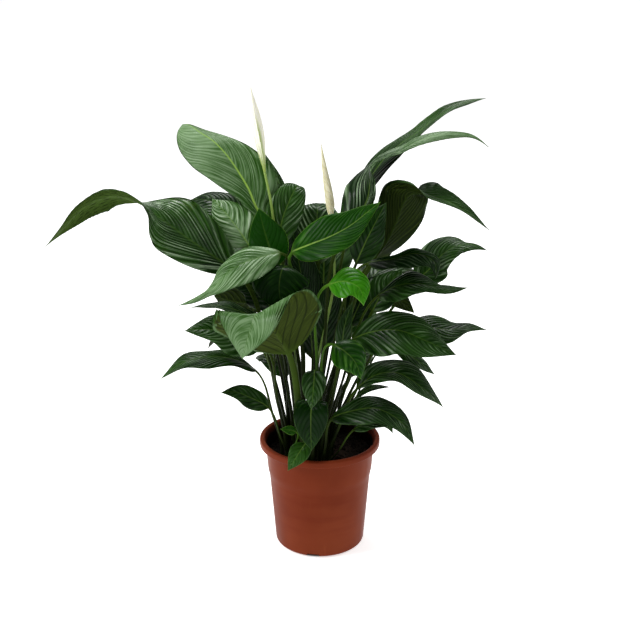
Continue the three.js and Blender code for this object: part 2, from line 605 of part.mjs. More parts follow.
function scapeGeometry(bloom) {
  const { path } = stemPath(bloom.root, bloom.scape.map(vector));
  const radiusAt = (share) => bloom.stem * (1 - scapeTaper * share);
  return tubeGeometry(curveThrough(path), scapeStations, scapeSides, radiusAt);
}

// The sheath is rolled up like a scroll: its radius grows once round and drops at the free edge.
function sheathGeometry(bloom) {
  const points = bloom.sheath.map(vector);
  points[0].addScaledVector(points[1].clone().sub(points[0]).normalize(), touchingGap);
  const stations = Array.from({ length: spatheSteps + 1 }, (_, i) => i / spatheSteps);
  const radiusAt = (share, angle) => {
    const rise = Math.sin((Math.PI / 2) * Math.min(1, share / bloom.peak));
    const fall = Math.cos((Math.PI / 2) * clamp01((share - bloom.peak) / (1 - bloom.peak)));
    const foot = share < bloom.peak ? bloom.stem * (1 - scapeTaper) : spatheTip;
    const body = foot + (bloom.radius - foot) * rise ** 1.3 * fall ** 1.2;
    const turn = (angle / (2 * Math.PI) + bloom.twist * share + bloom.lip) % 1;
    return Math.max(smallestHalfWidth, body * (1 - spatheLap * turn));
  };
  return tubeGeometry(curveThrough(points), stations, spatheSides, radiusAt);
}

// A closed geometry as a solid that can be joined and cut, and a solid as a geometry.
function solidOf(geometry) {
  const bare = new THREE.BufferGeometry();
  bare.setAttribute("position", geometry.getAttribute("position"));
  bare.setIndex(geometry.getIndex());
  const merged = mergeVertices(bare, 1e-3);
  return new wasm.Manifold(
    new wasm.Mesh({
      numProp: 3,
      vertProperties: new Float32Array(merged.getAttribute("position").array),
      triVerts: new Uint32Array(merged.getIndex().array),
    }),
  );
}

function geometryOf(solid) {
  const mesh = solid.getMesh();
  const geometry = new THREE.BufferGeometry();
  geometry.setAttribute("position", new THREE.Float32BufferAttribute(mesh.vertProperties, 3));
  geometry.setIndex(Array.from(mesh.triVerts));
  geometry.computeVertexNormals();
  return geometry;
}

// A profile of [radius, height] points turned about the Z axis.
function turned(profile) {
  const geometry = new THREE.LatheGeometry(profile.map(([r, z]) => new THREE.Vector2(r, z)), potSides);
  geometry.rotateX(Math.PI / 2);
  return geometry;
}

function potGeometry() {
  const rimFoot = potHeight - rimDepth;
  const inside = (radius) => radius - wallThickness;
  const shell = turned([
    [0, 0],
    [flatRadius, 0],
    [footRadius - 1.8, 1.8],
    [footRadius, 6.5],
    [stepRadius, stepHeight - 1],
    [stepRadius + stepWidth, stepHeight + 1.5],
    [collarRadius, rimFoot],
    [rimRadius - 1.6, rimFoot + 0.2],
    [rimRadius, rimFoot + 1.8],
    [rimRadius, potHeight - 2.4],
    [rimRadius - 1.6, potHeight - 0.4],
    [rimRadius - 4.4, potHeight],
    [rimRadius - 6.6, potHeight - 1.6],
    [inside(collarRadius) + 2, rimFoot + 4],
    [inside(collarRadius), rimFoot],
    [inside(stepRadius + stepWidth), stepHeight + 1.5],
    [inside(stepRadius), stepHeight - 1],
    [inside(footRadius), 8],
    [flatRadius, floorThickness],
    [0, floorThickness],
  ]);
  let solid = solidOf(shell);
  for (let i = 0; i < notchCount; i++) {
    const notch = new THREE.BoxGeometry(2 * (footRadius - notchInnerRadius), notchWidth, 2 * notchHeight);
    notch.translate(footRadius, 0, 0);
    notch.rotateZ(((firstNotchDegrees + (360 / notchCount) * i) * Math.PI) / 180);
    solid = solid.subtract(solidOf(notch));
  }
  return geometryOf(solid);
}

// The soil fills the pot a touch clear of its wall, with a plain hole for each stem.
function soilGeometry(stems) {
  const inside = (radius) => radius - wallThickness - touchingGap;
  const wallSlope = (collarRadius - stepRadius - stepWidth) / (potHeight - rimDepth - stepHeight - 1.5);
  const topRadius = inside(stepRadius + stepWidth) + wallSlope * (soilEdge - stepHeight - 1.5);
  let solid = solidOf(
    turned([
      [0, floorThickness + touchingGap],
      [flatRadius - 0.3, floorThickness + touchingGap],
      [inside(footRadius), 8.2],
      [inside(stepRadius), stepHeight - 1],
      [inside(stepRadius + stepWidth), stepHeight + 1.7],
      [topRadius, soilEdge],
      [0.75 * topRadius, soilCrown - 0.6],
      [0, soilCrown],
    ]),
  );
  for (const { root, stem } of stems) {
    const radius = (stemWidthShare * stem + holeClearance) / Math.cos(Math.PI / holeSides);
    const depth = 2 * (soilCrown - stemFoot + touchingGap);
    const hole = new THREE.CylinderGeometry(radius, radius, depth, holeSides);
    hole.rotateX(Math.PI / 2);
    hole.translate(root[0], root[1], soilCrown);
    solid = solid.subtract(solidOf(hole));
  }
  return geometryOf(solid);
}

function piece(name, geometry, look) {
  const mesh = new THREE.Mesh(geometry, new THREE.MeshStandardMaterial({ metalness: 0, ...look }));
  mesh.name = name;
  return mesh;
}

const youngLeaves = ["leaf_front_3", "leaf_front_4", "leaf_front_14"];
const plant = new THREE.Group();
plant.add(piece("pot", potGeometry(), colours.pot));
plant.add(piece("soil", soilGeometry([...leaves, ...blooms]), colours.soil));
leaves.forEach((leaf, i) => {
  const look = youngLeaves.includes(leaf.name) ? colours.youngLeaf : colours.leaf;
  plant.add(piece(leaf.name, leafGeometry(leaf, i), look));
});
for (const bloom of blooms) {
  plant.add(piece(bloom.name + "_stalk", scapeGeometry(bloom), colours.scape));
  plant.add(piece(bloom.name + "_sheath", sheathGeometry(bloom), colours.spathe));
}

export default plant;
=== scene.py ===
import math

import bpy
import numpy as np
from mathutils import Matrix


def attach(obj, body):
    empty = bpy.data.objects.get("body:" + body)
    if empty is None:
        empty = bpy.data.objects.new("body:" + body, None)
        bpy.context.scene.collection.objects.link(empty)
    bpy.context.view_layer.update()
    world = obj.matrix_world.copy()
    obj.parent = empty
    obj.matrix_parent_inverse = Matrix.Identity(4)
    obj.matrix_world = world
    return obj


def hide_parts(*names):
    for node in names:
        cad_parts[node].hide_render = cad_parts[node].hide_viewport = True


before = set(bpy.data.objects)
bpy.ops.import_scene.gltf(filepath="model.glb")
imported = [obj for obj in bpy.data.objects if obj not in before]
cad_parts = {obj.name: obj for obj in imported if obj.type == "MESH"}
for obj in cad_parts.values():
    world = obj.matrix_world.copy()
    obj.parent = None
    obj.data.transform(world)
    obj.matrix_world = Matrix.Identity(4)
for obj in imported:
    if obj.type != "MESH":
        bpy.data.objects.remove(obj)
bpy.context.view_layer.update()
print("frame loaded:", len(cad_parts), "nodes")

# A peace lily in a brown nursery pot. Shapes are worked out in millimetres and put into the meshes in metres.
mm = 0.001


def smooth(x):
    # 0 below 0, 1 above 1, and 3x^2 - 2x^3 between them
    x = np.clip(x, 0, 1)
    return x * x * (3 - 2 * x)


def unit(vectors):
    return vectors / np.linalg.norm(vectors, axis=-1, keepdims=True)


def between(a, b, share):
    return a + (b - a) * share


def curveThrough(points):
    # Cubic pieces through the points; the slope at a point is the mean of the chords on its two sides
    points = np.array(points, float)
    steps = np.linalg.norm(np.diff(points, axis=0), axis=1)
    knots = np.concatenate([[0], np.cumsum(steps)])
    chords = np.diff(points, axis=0) / steps[:, None]
    before = steps[:-1, None]
    after = steps[1:, None]
    inner = (chords[:-1] * after + chords[1:] * before) / (before + after)
    first = 1.5 * chords[0] - 0.5 * inner[0]
    last = 1.5 * chords[-1] - 0.5 * inner[-1]
    slopes = np.concatenate([[first], inner, [last]])

    def at(distance):
        i = np.clip(np.searchsorted(knots, distance) - 1, 0, len(steps) - 1)
        h = steps[i][..., None]
        s = (distance - knots[i])[..., None] / h
        p, q, m, n = points[i], points[i + 1], slopes[i], slopes[i + 1]
        place = (
            p * (2 * s**3 - 3 * s**2 + 1)
            + m * (s**3 - 2 * s**2 + s) * h
            + q * (-2 * s**3 + 3 * s**2)
            + n * (s**3 - s**2) * h
        )
        tangent = (
            (q - p) * (6 * s - 6 * s**2) / h
            + m * (3 * s**2 - 4 * s + 1)
            + n * (3 * s**2 - 2 * s)
        )
        return place, unit(tangent)

    return at, knots


def newPiece(name, points, faces, material, marks=None):
    # A mesh from points in mm and faces given as integer arrays, one array for each number of corners
    corners = np.concatenate([f.ravel() for f in faces]).astype(np.int32)
    sizes = np.concatenate([np.full(len(f), f.shape[1]) for f in faces])
    starts = np.concatenate([[0], np.cumsum(sizes)[:-1]]).astype(np.int32)
    mesh = bpy.data.meshes.new(name)
    mesh.vertices.add(len(points))
    mesh.vertices.foreach_set("co", (points * mm).astype(np.float32).ravel())
    mesh.loops.add(len(corners))
    mesh.loops.foreach_set("vertex_index", corners)
    mesh.polygons.add(len(sizes))
    mesh.polygons.foreach_set("loop_start", starts)
    mesh.polygons.foreach_set("use_smooth", np.ones(len(sizes), bool))
    mesh.update(calc_edges=True)
    for mark, values in (marks or {}).items():
        layer = mesh.attributes.new(mark, "FLOAT", "POINT")
        layer.data.foreach_set("value", np.asarray(values, np.float32).ravel())
    mesh.materials.append(material)
    piece = bpy.data.objects.new(name, mesh)
    bpy.context.scene.collection.objects.link(piece)
    return piece


def standFor(piece, node):
    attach(piece, "root")
    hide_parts(node)


def tubeFaces(rows, sides):
    # Quads of a closed tube of rings, each ring's points in order
    i, k = np.meshgrid(np.arange(rows - 1), np.arange(sides), indexing="ij")
    a = i * sides + k
    b = i * sides + (k + 1) % sides
    return np.stack([a, b, b + sides, a + sides], axis=-1).reshape(-1, 4)


def fan(ring, centre, turn):
    # Triangles from a ring of points to one centre point, facing the other way if turn is -1
    following = np.roll(ring, -turn)
    return np.stack([ring, following, np.full(len(ring), centre)], axis=-1)


def rgb(red, green, blue):
    # A colour as the screen shows it, 0 to 255, as the linear colour that a shader takes
    values = np.array([red, green, blue]) / 255
    linear = np.where(values <= 0.04045, values / 12.92, ((values + 0.055) / 1.055) ** 2.4)
    return (*linear.tolist(), 1)


def feed(tree, socket, value):
    if isinstance(value, bpy.types.NodeSocket):
        tree.links.new(value, socket)
    else:
        socket.default_value = value


def addNode(tree, kind, inputs=None, **settings):
    made = tree.nodes.new(kind)
    for name, value in settings.items():
        setattr(made, name, value)
    for name, value in (inputs or {}).items():
        feed(tree, made.inputs[name], value)
    return made


def maths(tree, operation, *values, clamp=False):
    made = addNode(tree, "ShaderNodeMath", operation=operation, use_clamp=clamp)
    for i, value in enumerate(values):
        feed(tree, made.inputs[i], value)
    return made.outputs[0]


def plus(tree, a, b, clamp=False):
    return maths(tree, "ADD", a, b, clamp=clamp)


def times(tree, a, b, clamp=False):
    return maths(tree, "MULTIPLY", a, b, clamp=clamp)


def vectorMaths(tree, operation, *vectors):
    inputs = dict(enumerate(vectors))
    return addNode(tree, "ShaderNodeVectorMath", inputs, operation=operation).outputs


def vector(tree, x, y, z=0):
    return addNode(tree, "ShaderNodeCombineXYZ", {"X": x, "Y": y, "Z": z}).outputs[0]


def objectPlace(tree):
    return addNode(tree, "ShaderNodeTexCoord").outputs["Object"]


def mixed(tree, share, a, b):
    made = addNode(tree, "ShaderNodeMix", data_type="RGBA")
    for i, value in zip((0, 6, 7), (share, a, b)):
        feed(tree, made.inputs[i], value)
    return made.outputs[2]


def ramped(tree, value, low, high, toLow=0, toHigh=1):
    # value from low to high becomes toLow to toHigh, with soft ends
    inputs = {"Value": value, "From Min": low, "From Max": high, "To Min": toLow, "To Max": toHigh}
    return addNode(tree, "ShaderNodeMapRange", inputs, interpolation_type="SMOOTHSTEP").outputs[0]


def mark(tree, name):
    return addNode(tree, "ShaderNodeAttribute", attribute_name=name).outputs["Fac"]


def noise(tree, scale, detail, place=None, stretch=None):
    # Noise on Object coordinates, or on the place given; stretch scales the axes apart
    if place is None:
        place = objectPlace(tree)
    if stretch:
        place = addNode(tree, "ShaderNodeMapping", {"Vector": place, "Scale": stretch}).outputs[0]
    inputs = {"Vector": place, "Scale": scale, "Detail": detail}
    return addNode(tree, "ShaderNodeTexNoise", inputs).outputs["Fac"]


def newGroup(name, colours, outputs):
    # A node group with named sockets: the colours that it takes and what it puts out
    tree = bpy.data.node_groups.new(name, "ShaderNodeTree")
    for socket, default in colours.items():
        made = tree.interface.new_socket(socket, in_out="INPUT", socket_type="NodeSocketColor")
        made.default_value = default
    for socket, kind in outputs.items():
        tree.interface.new_socket(socket, in_out="OUTPUT", socket_type=kind)
    given = tree.nodes.new("NodeGroupInput").outputs
    result = tree.nodes.new("NodeGroupOutput").inputs
    return tree, given, result


def newMaterial(name, **plain):
    # A material with its Principled shader; plain values are set on the shader's own sockets
    material = bpy.data.materials.new(name)
    material.use_nodes = True
    tree = material.node_tree
    shader = tree.nodes["Principled BSDF"]
    for socket, value in plain.items():
        shader.inputs[socket.replace("_", " ")].default_value = value
    return material, tree, shader.inputs


def addBump(tree, shaderInputs, height, strength, distance):
    inputs = {"Height": height, "Strength": strength, "Distance": distance}
    tree.links.new(addNode(tree, "ShaderNodeBump", inputs).outputs[0], shaderInputs["Normal"])


camera = dict(place=(0.0003, -1.6736, 0.9512), pitch=20.18, lens=73.125, sensor=36)

studio = dict(
    sky=(1, 1, 1, 1), skyStrength=0.42,
    floorSize=60, floorColour=(0.9, 0.9, 0.9, 1), floorRoughness=0.9, floorGlow=0.7,
    glowFrom=0.0565, glowFull=0.059,  # metres from the pot's axis: under the pot the floor doesn't glow
    lights={
        # place and size in metres and power in watts; each looks at aim, the middle of the plant
        "keyLight": dict(place=(-1.7, -0.5, 1.7), size=0.7, power=29),
        "rightLight": dict(place=(1.8, 0.3, 1.3), size=0.7, power=8),
        "topLight": dict(place=(-0.2, 1.1, 2.2), size=1, power=34),
    },
    aim=(0, 0, 0.4),
)


def aimed(place, target):
    # The turn that makes a camera or light at place look at target
    direction = np.array(target) - np.array(place)
    pitch = math.atan2(math.hypot(direction[0], direction[1]), -direction[2])
    yaw = math.atan2(direction[1], direction[0]) - math.pi / 2
    return (pitch, 0, yaw)


def buildCamera():
    data = bpy.data.cameras.new("camera")
    data.lens = camera["lens"]
    data.sensor_width = camera["sensor"]
    holder = bpy.data.objects.new("camera", data)
    holder.location = camera["place"]
    holder.rotation_euler = (math.radians(90 - camera["pitch"]), 0, 0)
    bpy.context.scene.collection.objects.link(holder)
    bpy.context.scene.camera = holder


def buildStudio():
    world = bpy.data.worlds.new("studio")
    world.use_nodes = True
    background = world.node_tree.nodes["Background"]
    background.inputs["Color"].default_value = studio["sky"]
    background.inputs["Strength"].default_value = studio["skyStrength"]
    bpy.context.scene.world = world
    for name, light in studio["lights"].items():
        data = bpy.data.lights.new(name, "AREA")
        data.size = light["size"]
        data.energy = light["power"]
        holder = bpy.data.objects.new(name, data)
        holder.location = light["place"]
        holder.rotation_euler = aimed(light["place"], studio["aim"])
        bpy.context.scene.collection.objects.link(holder)
    half = studio["floorSize"] / 2 / mm
    points = np.array([[-half, -half, 0], [half, -half, 0], [half, half, 0], [-half, half, 0]])
    material, tree, inputs = newMaterial(
        "floor", Base_Color=studio["floorColour"], Roughness=studio["floorRoughness"],
    )
    # the glow fades out under the pot, so that its drain notches are dark
    reach = vectorMaths(tree, "LENGTH", objectPlace(tree))["Value"]
    glow = ramped(tree, reach, studio["glowFrom"], studio["glowFull"])
    feed(tree, inputs["Emission Color"], mixed(tree, glow, (0, 0, 0, 1), studio["floorColour"]))
    inputs["Emission Strength"].default_value = studio["floorGlow"]
    newPiece("floor", points, [np.array([[0, 1, 2, 3]])], material)
    bpy.context.scene.view_settings.view_transform = "Standard"


buildCamera()
buildStudio()
print("camera, lights and floor made")


pot = dict(
    sides=192,
    height=161, rimRadius=85, rimDepth=10, rimWidth=6.6, collarRadius=76.6,
    stepHeight=110, stepRadius=71.8, stepWidth=1.8, stepSpread=5, innerStep=1.5,
    footRadius=63.2, footHeight=3.2, flatRadius=57, wall=1.7, floorThickness=3,
    raisedRadius=20, raisedBy=0.5,  # the middle of the underside stands clear of the floor
    notchCount=3, notchWidth=18, notchHeight=6.4, notchInner=54, firstNotch=-99, notchRound=1.4,
    plastic=(107, 42, 20), paler=(123, 54, 29), flowMark=(96, 30, 14), scuffMark=(160, 86, 56),
    paintedInnerShade=(26, 12, 8), innerShadeTo=0.151, innerShadeFadedAt=0.158,  # the painted shade on the inner face fades out between these heights in metres
    specular=0.045, roughness=(0.36, 0.5), bump=(0.25, 0.0008),  # a bump is a strength and a depth in metres
    sharpAngle=38,
)


def roundedProfile(corners, steps=6):
    # Each corner (radius, height, cut) is rounded by a curve that starts and ends cut mm from it
    points = []
    for i, (r, z, cut) in enumerate(corners):
        corner = np.array([r, z], float)
        if cut == 0:
            points.append(corner)
            continue
        before = np.array(corners[i - 1][:2]) - corner
        after = np.array(corners[i + 1][:2]) - corner
        start = corner + unit(before) * cut
        end = corner + unit(after) * cut
        for s in np.linspace(0, 1, steps):
            points.append(start * (1 - s) ** 2 + corner * 2 * s * (1 - s) + end * s**2)
    return np.array(points)


def turnedPiece(name, profile, sides, material, shape=None):
    # A profile of (radius, height), from the axis back to the axis, turned about Z.
    # shape(angle, radius, height) may return changed radii and heights.
    inner = profile[1:-1]
    angle = np.linspace(0, 2 * np.pi, sides, endpoint=False)
    radius = np.repeat(inner[:, :1], sides, axis=1)
    height = np.repeat(inner[:, 1:], sides, axis=1)
    if shape:
        radius, height = shape(angle[None, :], radius, height)
    ring = np.stack([radius * np.cos(angle), radius * np.sin(angle), height], axis=-1)
    poles = [[0, 0, profile[0][1]], [0, 0, profile[-1][1]]]
    points = np.concatenate([ring.reshape(-1, 3), poles])
    count = len(inner) * sides
    bottom = np.arange(sides)
    top = bottom + (len(inner) - 1) * sides
    faces = [tubeFaces(len(inner), sides), fan(bottom, count, -1), fan(top, count + 1, 1)]
    return newPiece(name, points, faces, material)


def potProfile():
    # The section from the underside's middle out, up the outer face, over the rim and down inside
    p = pot
    rimFoot = p["height"] - p["rimDepth"]
    top = p["height"]
    wall = p["wall"]
    rim = p["rimRadius"]
    collar = p["collarRadius"]
    step = p["stepRadius"] + p["stepWidth"]
    return roundedProfile([
        (0, p["raisedBy"], 0),
        (p["raisedRadius"], p["raisedBy"], 0.3),
        (p["raisedRadius"] + 1, 0, 0.3),
        (p["flatRadius"], 0, 1.5),
        (p["footRadius"], p["footHeight"], 3),
        (p["stepRadius"] - 0.3, p["stepHeight"] - p["stepSpread"], 4),
        (step + 0.2, p["stepHeight"] + p["stepSpread"], 4),
        (collar, rimFoot, 0.6),
        (rim, rimFoot + 0.4, 1.5),
        (rim, top, 3),
        (rim - p["rimWidth"], top, 2.4),
        (collar - wall + 1.2, rimFoot + 4, 1.5),
        (collar - wall, rimFoot, 1),
        (step - wall, p["stepHeight"] + p["innerStep"], 0.5),
        (p["stepRadius"] - wall, p["stepHeight"] - 1, 0.5),
        (p["footRadius"] - wall, 6, 3),
        (p["flatRadius"] - 2, p["floorThickness"], 1),
        (0, p["floorThickness"], 0),
    ])


def paintedInnerShade(tree):
    # Painted shade mask: 1 on the wall's inner face, where the normal points at the axis, and 0 elsewhere and
    # near the rim
    place = objectPlace(tree)
    outward = vectorMaths(tree, "MULTIPLY", place, (1, 1, 0))[0]
    normal = addNode(tree, "ShaderNodeTexCoord").outputs["Normal"]
    facing = vectorMaths(tree, "DOT_PRODUCT", outward, normal)["Value"]
    height = addNode(tree, "ShaderNodeSeparateXYZ", {"Vector": place}).outputs["Z"]
    inner = ramped(tree, facing, -0.06, -0.03, 1, 0)
    return times(tree, inner, ramped(tree, height, pot["innerShadeTo"], pot["innerShadeFadedAt"], 1, 0))


def potMaterial():
    # Moulded plastic: satin, a little uneven in colour, with soft flow marks round it, fine scuffs and
    # painted shade inside
    material, tree, inputs = newMaterial("potPlastic", Specular_IOR_Level=pot["specular"])
    cloud = noise(tree, 9, 3)
    flow = noise(tree, 6, 4, stretch=(1, 1, 9))
    scuff = noise(tree, 60, 5, stretch=(1, 1, 0.15))
    colour = mixed(tree, ramped(tree, cloud, 0.3, 0.7), rgb(*pot["plastic"]), rgb(*pot["paler"]))
    colour = mixed(tree, ramped(tree, flow, 0.45, 0.75, 0, 0.35), colour, rgb(*pot["flowMark"]))
    colour = mixed(tree, ramped(tree, scuff, 0.66, 0.8, 0, 0.25), colour, rgb(*pot["scuffMark"]))
    # painted shade: the inner face below the rim is darkened as the shadow inside the pot
    feed(tree, inputs["Base Color"], mixed(tree, paintedInnerShade(tree), colour, rgb(*pot["paintedInnerShade"])))
    feed(tree, inputs["Roughness"], ramped(tree, scuff, 0.3, 0.8, *pot["roughness"]))
    relief = plus(tree, times(tree, flow, 0.6), times(tree, scuff, 0.25))
    addBump(tree, inputs, relief, *pot["bump"])
    return material


def notchCutter():
    # Boxes that cut the drain notches through the bottom corner. The opening's outline, seen from outside,
    # has straight sides and rounded upper corners, and starts below the floor.
    half = pot["notchWidth"] / 2
    cut = pot["notchRound"]
    below = -3
    curve = np.linspace(0, np.pi / 2, 6)
    corner = np.array([half - cut, pot["notchHeight"] - cut])
    right = corner + cut * np.stack([np.cos(curve), np.sin(curve)], 1)
    left = right[::-1] * [-1, 1]
    outline = np.concatenate([[[half, below]], right, left, [[-half, below]]])
    count = len(outline)
    upward = np.array([0, 0, 1])
    rings = []
    tubes = []
    ends = []
    for i in range(pot["notchCount"]):
        angle = math.radians(pot["firstNotch"] + 360 / pot["notchCount"] * i)
        outward = np.array([math.cos(angle), math.sin(angle), 0])
        sideways = np.array([-math.sin(angle), math.cos(angle), 0])
        for reach in (pot["notchInner"], pot["footRadius"] + 12):
            rings.append(outward * reach + sideways * outline[:, :1] + upward * outline[:, 1:])
        first = i * 2 * count
        near = np.arange(count)[::-1] + first
        tubes.append(tubeFaces(2, count) + first)
        ends += [near, near[::-1] + count]
    material = bpy.data.materials.new("cutter")
    return newPiece("cutter", np.concatenate(rings), [np.concatenate(tubes), np.array(ends)], material)


def buildPot():
    piece = turnedPiece("nurseryPot", potProfile(), pot["sides"], potMaterial())
    cutter = notchCutter()
    cut = piece.modifiers.new("notches", "BOOLEAN")
    cut.operation = "DIFFERENCE"
    cut.solver = "EXACT"
    cut.object = cutter
    evaluated = piece.evaluated_get(bpy.context.evaluated_depsgraph_get())
    mesh = bpy.data.meshes.new_from_object(evaluated)
    mesh.name = "nurseryPot"
    piece.modifiers.clear()
    piece.data = mesh
    bpy.data.objects.remove(cutter)
    while len(mesh.materials) > 1:
        mesh.materials.pop()
    mesh.set_sharp_from_angle(angle=math.radians(pot["sharpAngle"]))
    standFor(piece, "pot")


buildPot()
print("pot made")


soil = dict(
    sides=180, rings=70,
    edge=136.5, crown=138.5, gap=0.35,
    waves=60, waveHeight=0.28, shortest=5, longest=32,
    # the crumbs' sizes in mm, and as shares of it how uneven and squashed they are and how far they stand up
    crumbs=1100, smallest=0.8, largest=3.2, uneven=(0.7, 1.15), squashed=(0.6, 1.2), raised=(-0.2, 0.5),
    seed=7,
    damp=(20, 15, 11), drier=(36, 26, 19), dryGrain=(58, 43, 31),
    roughness=0.95, specular=0.1, bump=(0.6, 0.0008),
)


def soilRadius(height):
    # The pot's inner radius less the gap, in the collar above the step
    p = pot
    above = height - p["stepHeight"] - p["innerStep"]
    tall = p["height"] - p["rimDepth"] - p["stepHeight"] - p["innerStep"]
    step = p["stepRadius"] + p["stepWidth"]
    return step - p["wall"] - soil["gap"] + (p["collarRadius"] - step) * above / tall


def soilRelief(x, y):
    # A sum of sine waves in random directions, with lengths between the shortest and the longest
    draw = np.random.default_rng(soil["seed"])
    angle = draw.uniform(0, 2 * np.pi, soil["waves"])
    length = np.exp(draw.uniform(np.log(soil["shortest"]), np.log(soil["longest"]), soil["waves"]))
    phase = draw.uniform(0, 2 * np.pi, soil["waves"])
    along = x[..., None] * np.cos(angle) + y[..., None] * np.sin(angle)
    waves = np.sin(2 * np.pi * along / length + phase).sum(-1)
    return soil["waveHeight"] * waves / math.sqrt(soil["waves"] / 6)


def soilTop(x, y):
    # The mound: a flat crown that falls off towards the wall, with the relief on it
    share = np.hypot(x, y) / soilRadius(soil["edge"])
    mound = between(soil["crown"], soil["edge"], share**3)
    return mound + soilRelief(x, y) * smooth((1 - share) * 12)


def crumbShapes(draw, count):
    # Lumps of 12 points: an icosahedron with each point moved in or out, squashed and turned
    golden = (1 + math.sqrt(5)) / 2
    flat = [(-1, golden), (1, golden), (-1, -golden), (1, -golden)]
    ball = [(a, b, 0) for a, b in flat] + [(0, a, b) for a, b in flat] + [(b, 0, a) for a, b in flat]
    ball = unit(np.array(ball))
    gaps = np.linalg.norm(ball[:, None] - ball[None], axis=-1)
    near = (gaps > 0.1) & (gaps < 1.2)
    triangles = np.array([
        (i, j, k)
        for i in range(12) for j in range(i + 1, 12) for k in range(j + 1, 12)
        if near[i, j] and near[j, k] and near[i, k]
    ])
    first, second, third = ball[triangles].swapaxes(0, 1)
    normal = np.cross(second - first, third - first)
    inward = (normal * first).sum(-1) < 0
    triangles[inward] = triangles[inward][:, ::-1]
    points = ball * draw.uniform(*soil["uneven"], (count, 12, 1))
    points = points * draw.uniform(*soil["squashed"], (count, 1, 3))
    turn = draw.uniform(0, 2 * np.pi, (count, 1))
    x, y, z = points[..., 0], points[..., 1], points[..., 2]
    points = np.stack([x * np.cos(turn) - y * np.sin(turn), x * np.sin(turn) + y * np.cos(turn), z], -1)
    return points, triangles


def soilMaterial():
    # Damp peat: near black, browner and drier in patches and on single crumbs
    material, tree, inputs = newMaterial(
        "peat", Roughness=soil["roughness"], Specular_IOR_Level=soil["specular"],
    )
    damp = noise(tree, 40, 3)
    grain = noise(tree, 900, 4)
    colour = mixed(tree, ramped(tree, damp, 0.4, 0.7), rgb(*soil["damp"]), rgb(*soil["drier"]))
    colour = mixed(tree, ramped(tree, grain, 0.55, 0.75, 0, 0.5), colour, rgb(*soil["dryGrain"]))
    feed(tree, inputs["Base Color"], colour)
    addBump(tree, inputs, grain, *soil["bump"])
    return material


def soilProfile():
    # The section inside the pot, a gap from its floor and wall, and the rings of the top
    p = pot
    gap = soil["gap"]
    topRadius = soilRadius(soil["edge"])
    inside = [
        (0, p["floorThickness"] + gap),
        (p["flatRadius"] - 0.3, p["floorThickness"] + gap),
        (p["footRadius"] - p["wall"] - gap, p["footHeight"] + 5),
        (p["stepRadius"] - p["wall"] - gap, p["stepHeight"] - 1),
        (soilRadius(p["stepHeight"] + p["innerStep"]), p["stepHeight"] + p["innerStep"] + 0.2),
        (topRadius, soil["edge"] - 1),
    ]
    rings = [(topRadius * share, soil["edge"]) for share in np.linspace(1, 0.01, soil["rings"])]
    return np.array(inside + rings + [(0, soil["crown"])]), len(inside) - 1


def buildCrumbs(peat):
    # Loose crumbs, most of them small, scattered evenly over the top and half sunk in it
    draw = np.random.default_rng(soil["seed"])
    count = soil["crumbs"]
    size = between(soil["smallest"], soil["largest"], draw.uniform(0, 1, count) ** 3)
    reach = (soilRadius(soil["edge"]) - 1.3 * size) * np.sqrt(draw.uniform(0, 1, count))
    angle = draw.uniform(0, 2 * np.pi, count)
    x, y = reach * np.cos(angle), reach * np.sin(angle)
    centre = np.stack([x, y, soilTop(x, y) + size * draw.uniform(*soil["raised"], count)], -1)
    lumps, triangles = crumbShapes(draw, count)
    points = (centre[:, None] + lumps * size[:, None, None]).reshape(-1, 3)
    faces = (triangles[None] + 12 * np.arange(count)[:, None, None]).reshape(-1, 3)
    crumbs = newPiece("soilCrumbs", points, [faces], peat)
    crumbs.data.polygons.foreach_set("use_smooth", np.zeros(len(faces), bool))
    return crumbs


def buildSoil():
    profile, below = soilProfile()

    def shape(angle, radius, height):
        height[below:] = soilTop(radius[below:] * np.cos(angle), radius[below:] * np.sin(angle))
        return radius, height

    peat = soilMaterial()
    standFor(turnedPiece("soilBody", profile, soil["sides"], peat, shape=shape), "soil")
    standFor(buildCrumbs(peat), "soil")


buildSoil()
print("soil made")
